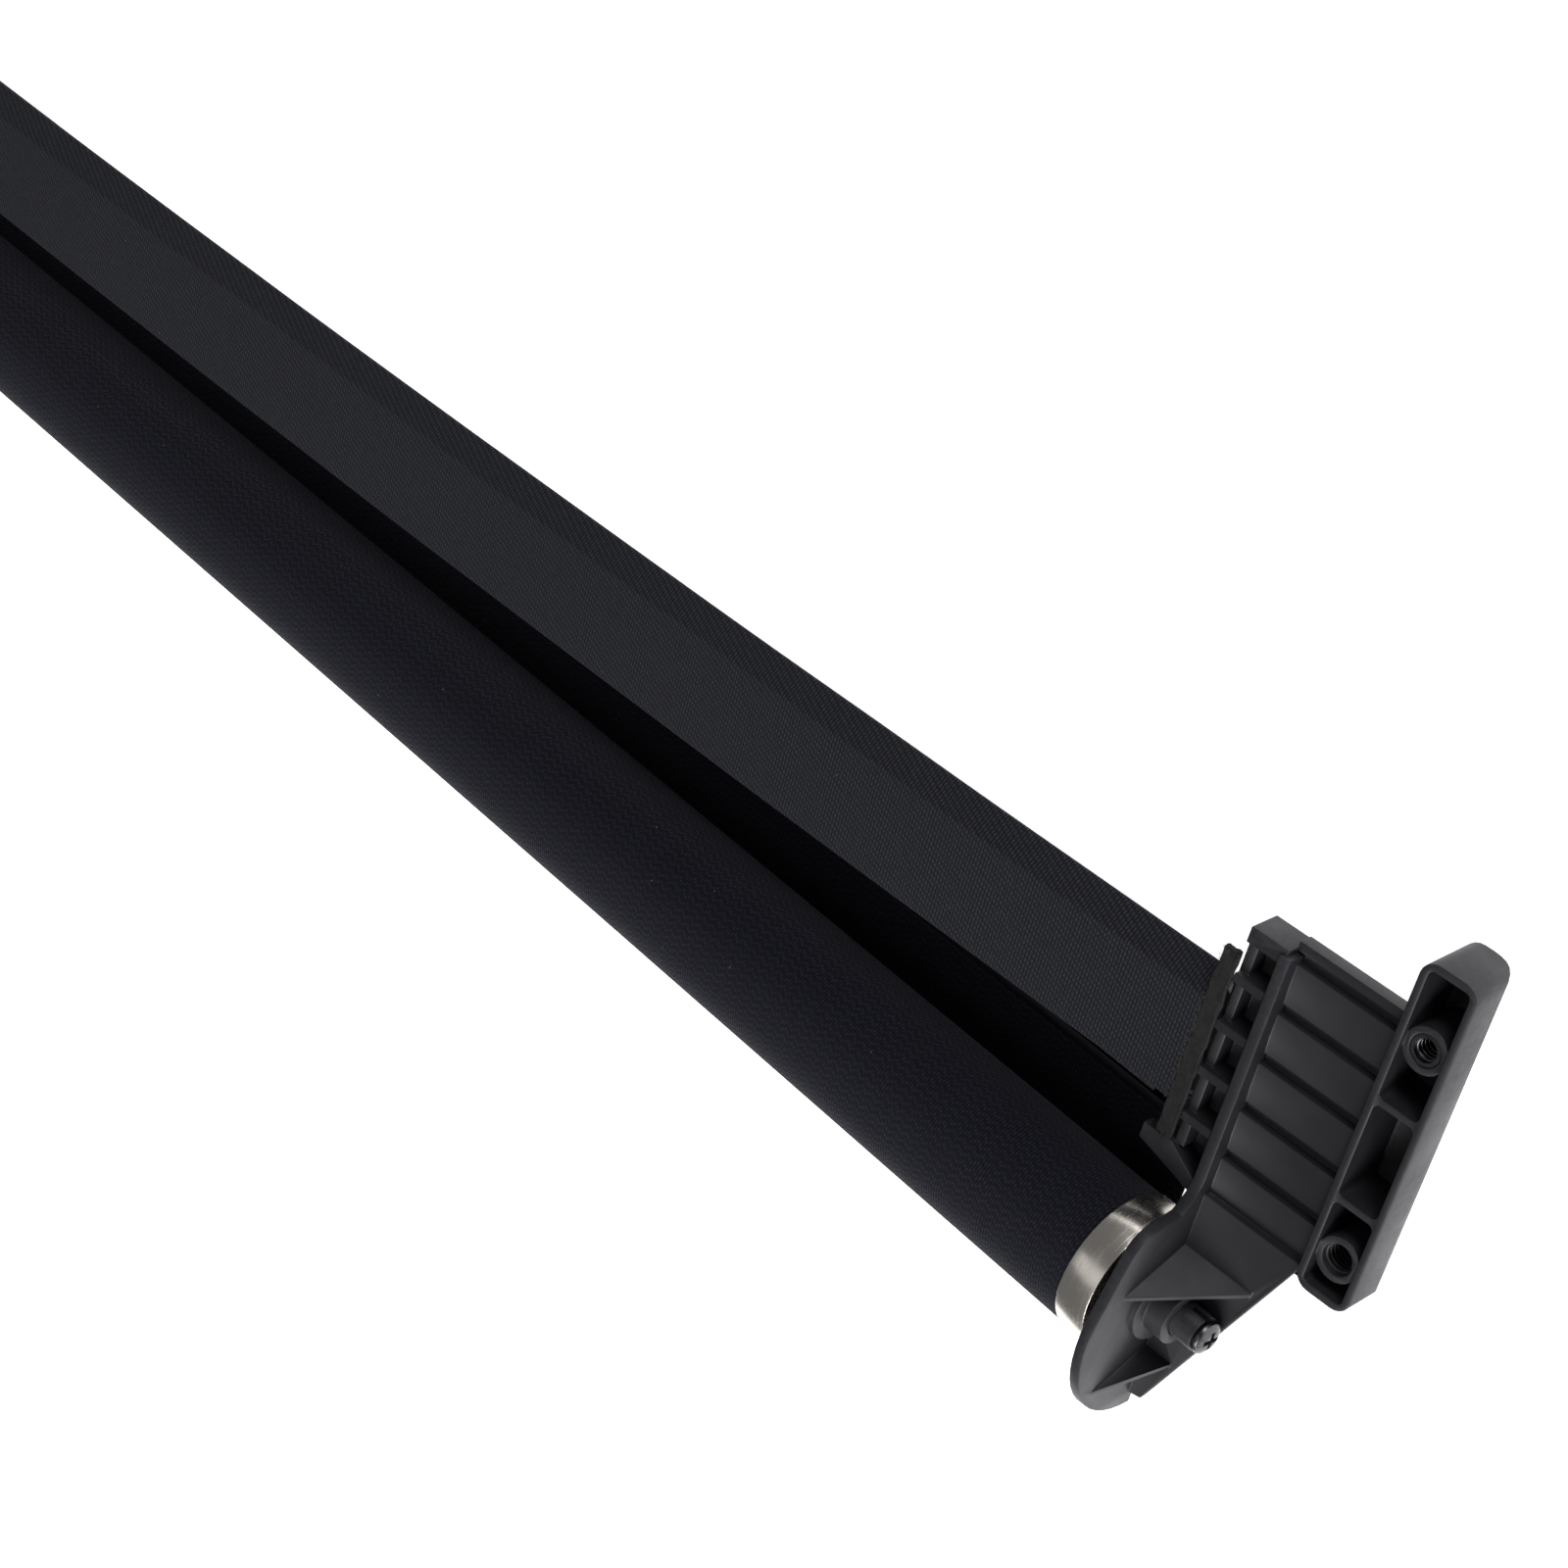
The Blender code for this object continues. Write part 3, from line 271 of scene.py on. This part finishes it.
def drawn_lines():
    """Fine parallel marks round or along a metal piece: the Place is stretched before it comes in."""
    n, given, out = new_group("drawn_lines", {"Line Scale": 1.0}, ("Line", "Broad"))
    n.feed(out["Line"], n.noise(given["Place"], given["Line Scale"], 3.0, 0.7))
    n.feed(out["Broad"], n.noise(given["Place"], n.math("MULTIPLY", given["Line Scale"], 0.12), 2.0, 0.5))
    return n.tree


GROUPS = {}


def group(name):
    if name not in GROUPS:
        makers = {"woven_yarns": woven_yarns, "moulded_grain": moulded_grain, "lint_flecks": lint_flecks,
                  "drawn_lines": drawn_lines}
        GROUPS[name] = makers[name]()
    return GROUPS[name]


def new_material(name, **values):
    """A material, its nodes, and its shader with constants set."""
    made = bpy.data.materials.new(name)
    made.use_nodes = True
    shader = made.node_tree.nodes["Principled BSDF"]
    for key, value in values.items():
        shader.inputs[key.replace("_", " ")].default_value = value
    return made, Nodes(made.node_tree), shader


def use_group(n, name, inputs):
    node = n.add("ShaderNodeGroup")
    node.node_tree = group(name)
    for key, value in inputs.items():
        n.feed(node.inputs[key], value)
    return node.outputs


def bump(n, shader, height, distance, strength=1.0):
    node = n.add("ShaderNodeBump", {"Height": height, "Distance": distance, "Strength": strength})
    n.feed(shader.inputs["Normal"], node.outputs["Normal"])


def object_place(n):
    return n.add("ShaderNodeTexCoord").outputs["Object"]


def paper_floor():
    made, n, shader = new_material("paper_floor", Roughness=0.9)
    speck = n.noise(object_place(n), 90.0, 4.0, 0.6)
    n.feed(shader.inputs["Base Color"], n.mix_colour(speck, (0.90, 0.90, 0.90, 1), (0.94, 0.94, 0.94, 1)))
    shader.inputs["Emission Color"].default_value = (1, 1, 1, 1)
    shader.inputs["Emission Strength"].default_value = TABLE_GLOW
    return made


# --- materials ------------------------------------------------------------------------------------


def cloth(name, pitch, zigzag, over, dark, light, from_uv=True):
    """Black woven cloth: matt yarns with a faint sheen, lint, slow changes of tone, and painted shade down
    the yarns' sides and in the weave's hollows.
    """
    made, n, shader = new_material(name, Sheen_Weight=0.05, Sheen_Roughness=0.5, Specular_IOR_Level=0.10)
    shader.inputs["Sheen Tint"].default_value = (0.85, 0.87, 0.95, 1)
    coordinates = n.add("ShaderNodeTexCoord").outputs
    place = coordinates["UV"] if from_uv else coordinates["Object"]
    yarns = use_group(n, "woven_yarns", {"Place": place, "Column Pitch": pitch[0], "Row Pitch": pitch[1],
                                         "Zigzag": zigzag, "Over": over})
    fibre = n.noise(coordinates["Object"], 9000.0, 2.0, 0.7)
    slow = n.noise(coordinates["Object"], 14.0, 3.0, 0.5)
    # The yarn height darkens the colour down each yarn's sides and where it passes under: painted shade in
    # the weave. The yarn tone and the slow noise are real changes of tone.
    tone = n.math("MULTIPLY", yarns["Height"], n.mix(yarns["Yarn Tone"], 0.72, 1.18))
    tone = n.math("MULTIPLY", tone, n.mix(slow, 0.88, 1.12))
    base = n.mix_colour(tone, dark, light)
    lint = {"Place": coordinates["Object"], "Spacing": 0.009, "Size": 0.022}
    fleck = n.math("MULTIPLY", use_group(n, "lint_flecks", lint)["Fleck"], 0.55)
    n.feed(shader.inputs["Base Color"], n.mix_colour(fleck, base, (0.16, 0.16, 0.17, 1)))
    n.feed(shader.inputs["Roughness"], n.ramp(yarns["Height"], 0.0, 1.0, 0.92, 0.62))
    height = n.math("MULTIPLY_ADD", fibre, 0.22, yarns["Height"])
    bump(n, shader, height, 0.00010, 0.9)
    return made


def moulding(name, dark, light, roughness, grain, rub=0.6):
    made, n, shader = new_material(name, Specular_IOR_Level=0.32)
    place = object_place(n)
    grained = use_group(n, "moulded_grain", {"Place": place, "Grain Size": grain, "Rub": rub})
    cloud = n.noise(place, 40.0, 3.0, 0.5)
    base = n.mix_colour(cloud, dark, light)
    worn = tuple(min(1, c * 2.6) for c in light[:3]) + (1,)
    dust = n.math("MULTIPLY", n.ramp(n.noise(place, 2600.0, 2.0, 0.7), 0.68, 0.80), 0.25)
    base = n.mix_colour(dust, base, worn)
    n.feed(shader.inputs["Base Color"], n.mix_colour(grained["Rubbed"], base, worn))
    gloss = n.ramp(grained["Gloss Patch"], 0.0, 1.0, roughness + 0.08, roughness - 0.06)
    n.feed(shader.inputs["Roughness"], gloss)
    bump(n, shader, grained["Height"], 0.000018, 0.6)
    return made


def plated_metal(name, colour, roughness, stretch, line_scale, streak=0.05, anisotropy=0.0):
    """Metal with fine drawn or turned lines; stretch says which way they run."""
    made, n, shader = new_material(name, Metallic=1.0, Anisotropic=anisotropy)
    place = object_place(n)
    lines = use_group(n, "drawn_lines", {"Place": n.stretched(place, stretch), "Line Scale": line_scale})
    dark = tuple(c * 0.86 for c in colour[:3]) + (1,)
    smear = n.noise(place, 120.0, 4.0, 0.65)
    n.feed(shader.inputs["Base Color"], n.mix_colour(lines["Broad"], dark, colour))
    rough = n.math("ADD", n.ramp(lines["Line"], 0.2, 0.8, roughness - streak, roughness + streak),
                   n.ramp(smear, 0.45, 0.75, 0.0, 0.10))
    n.feed(shader.inputs["Roughness"], rough)
    bump(n, shader, lines["Line"], 0.000004, 0.3)
    return made


def felt_fibre(name, dark, light):
    made, n, shader = new_material(name, Roughness=1.0, Sheen_Weight=0.08, Specular_IOR_Level=0.1)
    place = object_place(n)
    tangle = n.noise(place, 2600.0, 5.0, 0.75)
    patch = n.noise(place, 420.0, 3.0, 0.6)
    n.feed(shader.inputs["Base Color"], n.mix_colour(n.math("MULTIPLY", tangle, patch), dark, light))
    bump(n, shader, tangle, 0.0003, 0.9)
    return made


def acetal(name):
    made, n, shader = new_material(name, Subsurface_Weight=0.1, Specular_IOR_Level=0.5)
    place = object_place(n)
    flow = n.noise(n.stretched(place, (60.0, 400.0, 400.0)), 1.0, 3.0, 0.6)
    n.feed(shader.inputs["Base Color"], n.mix_colour(flow, (0.66, 0.65, 0.61, 1), (0.74, 0.73, 0.70, 1)))
    n.feed(shader.inputs["Roughness"], n.ramp(flow, 0.3, 0.7, 0.34, 0.46))
    bump(n, shader, n.noise(place, 3000.0, 2.0), 0.00001, 0.5)
    return made


def make_materials():
    black = (0.0098, 0.0098, 0.0120, 1)
    black_light = (0.0170, 0.0170, 0.0205, 1)
    return {
        "moulded_plastic": moulding("black_moulding", black, black_light, 0.46, 0.00020),
        "beam_plastic": moulding("core_extrusion", (0.03, 0.03, 0.031, 1), (0.045, 0.045, 0.046, 1), 0.55,
                                 0.00040),
        "beam_fabric": cloth("figured_cloth", (0.00078, 0.00032), 0.0, 3.0, (0.0035, 0.0035, 0.0045, 1),
                             (0.026, 0.027, 0.034, 1)),
        "curtain_fabric": cloth("twill_cloth", (0.00072, 0.00042), 1.0, 2.0, (0.0022, 0.0022, 0.0038, 1),
                                (0.017, 0.0175, 0.027, 1)),
        "curtain_run": cloth("twill_cloth_flat", (0.00072, 0.00042), 1.0, 2.0, (0.0022, 0.0022, 0.0038, 1),
                             (0.017, 0.0175, 0.027, 1), from_uv=False),
        "felt": felt_fibre("grey_felt", (0.006, 0.006, 0.006, 1), (0.034, 0.034, 0.034, 1)),
        "yarn": felt_fibre("yarn_ends", (0.05, 0.05, 0.052, 1), (0.30, 0.29, 0.28, 1)),
        "nickel": plated_metal("bright_nickel", (0.84, 0.79, 0.72, 1), 0.23, (3000.0, 60.0, 60.0), 1.0,
                               0.08, 0.4),
        "zinc": plated_metal("dull_zinc", (0.44, 0.44, 0.45, 1), 0.36, (60.0, 2500.0, 2500.0), 1.0),
        "dark_steel": plated_metal("black_zinc", (0.085, 0.085, 0.09, 1), 0.27, (900.0, 900.0, 900.0), 1.0),
        "spring_steel": plated_metal("oiled_wire", (0.30, 0.30, 0.31, 1), 0.27, (700.0, 3000.0, 3000.0), 1.0),
        "acetal": acetal("natural_acetal"),
        "aluminium": plated_metal("drawn_aluminium", (0.60, 0.61, 0.62, 1), 0.33, (40.0, 5000.0, 5000.0), 1.0,
                                  0.06, 0.3),
        # A darkened copy of the drawn aluminium, for the pull bar: painted shade where its top shows past the
        # beam's edge.
        "black_anodised": plated_metal("black_anodised", (0.020, 0.020, 0.023, 1), 0.42,
                                       (40.0, 5000.0, 5000.0), 1.0, 0.05),
    }


# --- shape helpers --------------------------------------------------------------------------------


def only(obj):
    """Deselects everything else and makes obj the active object."""
    bpy.ops.object.select_all(action="DESELECT")
    obj.select_set(True)
    bpy.context.view_layer.objects.active = obj


def apply_modifiers(obj):
    only(obj)
    for modifier in list(obj.modifiers):
        bpy.ops.object.modifier_apply(modifier=modifier.name)


def solid_from(name, points, faces):
    mesh = bpy.data.meshes.new(name)
    mesh.from_pydata(points, [], faces)
    obj = bpy.data.objects.new(name, mesh)
    bpy.context.scene.collection.objects.link(obj)
    return obj


def finish_piece(obj, material, body, slot, *nodes, smooth=math.radians(35)):
    """Gives a piece its material, body and the CAD nodes it stands for; its slot is not used. A blended piece
    has no body.
    """
    obj.data.materials.clear()
    obj.data.materials.append(material)
    only(obj)
    bpy.ops.object.shade_smooth_by_angle(angle=smooth)
    if body:
        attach(obj, body)
    if nodes:
        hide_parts(*nodes)
    return obj


def softened_copy(node, name, edge, segments=2, angle=math.radians(28)):
    """A merged copy of a CAD node with its edges rounded over."""
    obj = bpy.data.objects.new(name, frame["nodes"][node].data.copy())
    obj.data.name = name
    bpy.context.scene.collection.objects.link(obj)
    only(obj)
    bpy.ops.object.mode_set(mode="EDIT")
    bpy.ops.mesh.select_all(action="SELECT")
    bpy.ops.mesh.remove_doubles(threshold=0.000002)
    bpy.ops.mesh.dissolve_limited(angle_limit=math.radians(0.6))
    bpy.ops.object.mode_set(mode="OBJECT")
    bevel = obj.modifiers.new("Rounded edges", "BEVEL")
    bevel.width = edge
    bevel.segments = segments
    bevel.limit_method = "ANGLE"
    bevel.angle_limit = angle
    bevel.use_clamp_overlap = False
    bevel.miter_outer = "MITER_ARC"
    apply_modifiers(obj)
    return obj


def on_bracket(side, x, y, z):
    """A point measured on a bracket, in the row frame. side is 1 on the right and -1 on the left."""
    c, s = math.cos(BRACKET_TILT), math.sin(BRACKET_TILT)
    return Vector((side * (CHEEK_X + x * c + z * s), AXIS_Y + y, AXIS_Z - x * s + z * c))


def add_fibres(points, faces, start, direction, length, width, bend, sides=4, joints=3):
    """Adds one bent, tapering fibre to a list of points and faces."""
    direction = direction.normalized()
    aside = direction.cross(Vector((0.31, 0.52, 0.79))).normalized()
    other = direction.cross(aside)
    first = len(points)
    for k in range(joints + 1):
        t = k / joints
        centre = start + direction * length * t + bend * length * t * t
        radius = width / 2 * (1 - 0.55 * t)
        for m in range(sides):
            angle = 2 * math.pi * m / sides
            points.append(centre + (aside * math.cos(angle) + other * math.sin(angle)) * radius)
    for k in range(joints):
        for m in range(sides):
            a = first + k * sides + m
            b = first + k * sides + (m + 1) % sides
            faces.append((a, b, b + sides, a + sides))
    faces.append(tuple(first + m for m in reversed(range(sides))))
    faces.append(tuple(first + joints * sides + m for m in range(sides)))


# --- cloth ----------------------------------------------------------------------------------------


def sheet_mesh(name, rows, xs, lengths):
    """A sheet from rows of (y, z) points drawn out along xs; its UV map is in metres of cloth."""
    points = [Vector((x, *row(x))) for row in rows for x in xs]
    count = len(xs)
    faces = [(r * count + c, r * count + c + 1, (r + 1) * count + c + 1, (r + 1) * count + c)
             for r in range(len(rows) - 1) for c in range(count - 1)]
    obj = solid_from(name, points, faces)
    uv = obj.data.uv_layers.new(name="cloth")
    for loop in obj.data.loops:
        r, c = divmod(loop.vertex_index, count)
        uv.data[loop.index].uv = (xs[c], lengths[r])
    return obj


def steps(low, high, count):
    return [low + (high - low) * i / count for i in range(count + 1)]


def thicken(obj, thickness, offset):
    wall = obj.modifiers.new("Cloth thickness", "SOLIDIFY")
    wall.thickness = thickness
    wall.offset = offset
    apply_modifiers(obj)


def add_curtain_roll(materials):
    """The wound cloth as one spiral sheet, its outer end at the roll's lowest line."""
    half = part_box("wound_curtain")[1][0]
    per_turn = 48
    count = round(ROLL_TURNS * per_turn)
    rows, lengths, total, last = [], [], 0.0, None
    for i in range(count + 1):
        turn = i / per_turn
        radius = ROLL_RADIUS - CLOTH_THICKNESS / 2 - TURN_PITCH * turn
        angle = 2 * math.pi * turn
        y, z = -radius * math.sin(angle), -radius * math.cos(angle)
        if last is not None:
            total += math.hypot(y - last[0], z - last[1])
        last = (y, z)
        lengths.append(total)
        rows.append(lambda x, y=y, z=z: (AXIS_Y + y, AXIS_Z + z))
    roll = sheet_mesh("curtain_roll", rows, steps(-half, half, 36), lengths)
    thicken(roll, CLOTH_THICKNESS, 0)
    finish_piece(roll, materials["curtain_fabric"], "roller", "curtain_fabric", "wound_curtain",
                 smooth=math.radians(50))


def add_curtain_run(materials):
    """The cloth from the roll to the bar, which is drawn out with the bar."""
    low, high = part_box("curtain_panel")
    bar_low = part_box("pull_bar")[0]
    start_y, end_y = AXIS_Y + 0.0002, bar_low[1] - 0.0002
    z = AXIS_Z - ROLL_RADIUS - CLOTH_THICKNESS / 2 - RUN_CLEARANCE
    ys = steps(start_y, end_y, 40)
    rows = [lambda x, y=y: (y, z) for y in ys]
    run = sheet_mesh("curtain_run", rows, steps(low[0], high[0], 24), [y - start_y for y in ys])
    thicken(run, CLOTH_THICKNESS, 0)
    finish_piece(run, materials["curtain_run"], None, "curtain_fabric", "curtain_panel")
    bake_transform(run)


def rounded_path(corners, radius, steps_per_corner=5):
    """An open path through corners, with each inner corner rounded."""
    path = [Vector(corners[0])]
    for before, here, after in zip(corners, corners[1:], corners[2:]):
        before, here, after = Vector(before), Vector(here), Vector(after)
        to_before = (before - here).normalized()
        to_after = (after - here).normalized()
        half_angle = to_before.angle(to_after) / 2
        reach = radius / math.tan(half_angle)
        first, last = here + to_before * reach, here + to_after * reach
        for i in range(steps_per_corner + 1):
            t = i / steps_per_corner
            path.append(first * (1 - t) ** 2 + here * 2 * t * (1 - t) + last * t * t)
    path.append(Vector(corners[-1]))
    return path


def divided(path, spacing):
    """The path with its long stretches divided."""
    points = [path[0]]
    for a, b in zip(path, path[1:]):
        pieces = max(1, math.ceil((b - a).length / spacing))
        points += [a.lerp(b, i / pieces) for i in range(1, pieces + 1)]
    return points


def crown_lift(x):
    return BEAM_LIFT + BEAM_CROWN * (1 - (x / BEAM_HALF_LENGTH) ** 2)


def add_beam_wrap(materials):
    """The beam's glued cloth, with soft creases and the faint waviness of glued cloth."""
    path = divided(rounded_path(COVER_SECTION, COVER_CREASE_RADIUS), 0.003)
    lengths = [0.0]
    for a, b in zip(path, path[1:]):
        lengths.append(lengths[-1] + (b - a).length)

    def row(y, z):
        def place(x):
            ease = min(1.0, (BEAM_HALF_LENGTH - abs(x)) / 0.02)
            wave = noise.noise(Vector((x * 22, y * 160, z * 160))) * 0.00016 * ease
            return AXIS_Y + y, AXIS_Z + z + crown_lift(x) + wave
        return place

    xs = steps(-BEAM_HALF_LENGTH, BEAM_HALF_LENGTH, 110)
    wrap = sheet_mesh("beam_wrap", [row(*p) for p in path], xs, lengths)
    only(wrap)
    bpy.ops.object.mode_set(mode="EDIT")
    bpy.ops.mesh.select_all(action="SELECT")
    bpy.ops.mesh.normals_make_consistent(inside=False)
    bpy.ops.object.mode_set(mode="OBJECT")
    top = max(wrap.data.polygons, key=lambda p: p.center.z)
    thicken(wrap, COVER_THICKNESS, -1 if top.normal.z > 0 else 1)
    finish_piece(wrap, materials["beam_fabric"], "carrier", "beam_fabric", "beam_cover",
                 smooth=math.radians(40))


def add_frayed_ends(materials):
    """Short yarn ends that stand out of the beam cloth's cut edges."""
    rng = random.Random(11)
    path = rounded_path(COVER_SECTION[1:6], COVER_CREASE_RADIUS)
    for side, label in ((1, "right"), (-1, "left")):
        points, faces = [], []
        for a, b in zip(path, path[1:]):
            count = max(1, round((b - a).length / 0.00019))
            for i in range(count):
                y, z = a.lerp(b, (i + rng.random()) / count)
                start = Vector((side * (BEAM_HALF_LENGTH - 0.0004), AXIS_Y + y,
                                AXIS_Z + z + crown_lift(BEAM_HALF_LENGTH) - rng.random() * 0.0004))
                away = Vector((side, rng.uniform(-0.5, 0.5), rng.uniform(-0.1, 0.9)))
                bend = Vector((rng.uniform(-0.5, 0.3) * side, rng.uniform(-0.6, 0.6), rng.uniform(-0.2, 0.7)))
                length = rng.uniform(0.0004, 0.0013)
                add_fibres(points, faces, start, away, length, rng.uniform(0.00006, 0.00013), bend)
        yarns = solid_from(f"{label}_yarn_ends", points, faces)
        finish_piece(yarns, materials["yarn"], "carrier", "beam_fabric", smooth=math.pi)


def add_felt(materials):
    """Rough felt strips between the beam's ends and the brackets' plugs."""
    rng = random.Random(23)
    for side, label in ((1, "right"), (-1, "left")):
        node = f"{label}_felt_strip"
        strip = softened_copy(node, f"{label}_felt", 0.0003, 2)
        only(strip)
        bpy.ops.object.mode_set(mode="EDIT")
        bpy.ops.mesh.select_all(action="SELECT")
        for _ in range(5):
            bpy.ops.mesh.subdivide(number_cuts=1)
        bpy.ops.object.mode_set(mode="OBJECT")
        low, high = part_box(node)
        moved = []
        for vert in strip.data.vertices:
            tangle = noise.noise(vert.co * 1500) * 0.00022 + noise.noise(vert.co * 420) * 0.00030
            moved.extend(vert.co + vert.normal * (tangle - 0.0001))
        strip.data.vertices.foreach_set("co", moved)
        strip.data.update()
        finish_piece(strip, materials["felt"], "carrier", "felt", node, smooth=math.pi)
        points, faces = [], []
        for _ in range(900):
            x, y = rng.uniform(low[0], high[0]), rng.uniform(low[1], high[1])
            start = Vector((x, y, high[2] - 0.0003 - (abs(x) - abs(low[0] if side > 0 else high[0])) * 0.075))
            away = Vector((rng.uniform(-1, 1), rng.uniform(-1, 1), rng.uniform(0.1, 0.9)))
            bend = Vector((rng.uniform(-1, 1), rng.uniform(-1, 1), rng.uniform(-0.8, 0.1)))
            length, width = rng.uniform(0.0004, 0.0012), rng.uniform(0.00003, 0.00007)
            add_fibres(points, faces, start, away, length, width, bend, 3, 2)
        fluff = solid_from(f"{label}_felt_fluff", points, faces)
        finish_piece(fluff, materials["felt"], "carrier", "felt", smooth=math.pi)


# --- hard pieces ----------------------------------------------------------------------------------


def add_threads(materials):
    """Thread turns inside the bosses of each foot."""
    for side, label in ((1, "right"), (-1, "left")):
        for boss_y, place, radius in ((BOSS_YS[0], "upper", 0.00236), (BOSS_YS[1], "lower", 0.00318)):
            name = f"{label}_{place}_thread"
            curve = bpy.data.curves.new(name, "CURVE")
            curve.dimensions = "3D"
            curve.bevel_depth = THREAD_PITCH * 0.30
            curve.bevel_resolution = 1
            curve.use_fill_caps = True
            spline = curve.splines.new("POLY")
            count = 6 * 24
            spline.points.add(count)
            for i, point in enumerate(spline.points):
                angle = 2 * math.pi * i / 24
                depth = BOSS_TOP - 0.0008 - THREAD_PITCH * i / 24
                across, along = radius * math.cos(angle), radius * math.sin(angle)
                point.co = (*on_bracket(side, BOSS_X + across, boss_y + along, depth), 1)
            thread = bpy.data.objects.new(name, curve)
            bpy.context.scene.collection.objects.link(thread)
            only(thread)
            bpy.ops.object.convert(target="MESH")
            thread = bpy.context.object
            slot = "dark_steel" if place == "upper" else "moulded_plastic"
            finish_piece(thread, materials[slot], "carrier", slot, smooth=math.pi)


SOFTENED = {
    # node: (edge radius, body)
    "right_bracket": (MOULDING_EDGE, "carrier"),
    "left_bracket": (MOULDING_EDGE, "carrier"),
    "right_axle_stub": (SMALL_EDGE, "carrier"),
    "left_axle_stub": (SMALL_EDGE, "carrier"),
    "right_axle_screw": (0.00008, "carrier"),
    "left_axle_screw": (0.00008, "carrier"),
    "right_end_sleeve": (0.00018, "roller"),
    "left_end_sleeve": (0.00018, "roller"),
    "pull_bar": (0.00030, "puller"),
    "pull_grip": (0.00040, "puller"),
    "right_glider": (0.00040, "puller"),
    "left_glider": (0.00040, "puller"),
    "hem_strip": (0.00015, "puller"),
}


def add_softened(materials):
    slots = {entry["node"]: entry["material_slot"] for entry in frame["record"]["subparts"]}
    for node, (edge, body) in SOFTENED.items():
        piece = softened_copy(node, f"{node}_body", edge)
        # The pull bar takes the darkened aluminium copy: painted shade where its top shows past the beam's
        # edge.
        look = "black_anodised" if node == "pull_bar" else slots[node]
        finish_piece(piece, materials[look], body, slots[node], node)
    for node, obj in frame["nodes"].items():
        obj.data.materials.clear()
        obj.data.materials.append(materials[slots[node]])


def main():
    materials = make_materials()
    add_camera()
    add_studio()
    add_softened(materials)
    add_curtain_roll(materials)
    add_curtain_run(materials)
    add_beam_wrap(materials)
    add_frayed_ends(materials)
    add_felt(materials)
    add_threads(materials)


main()
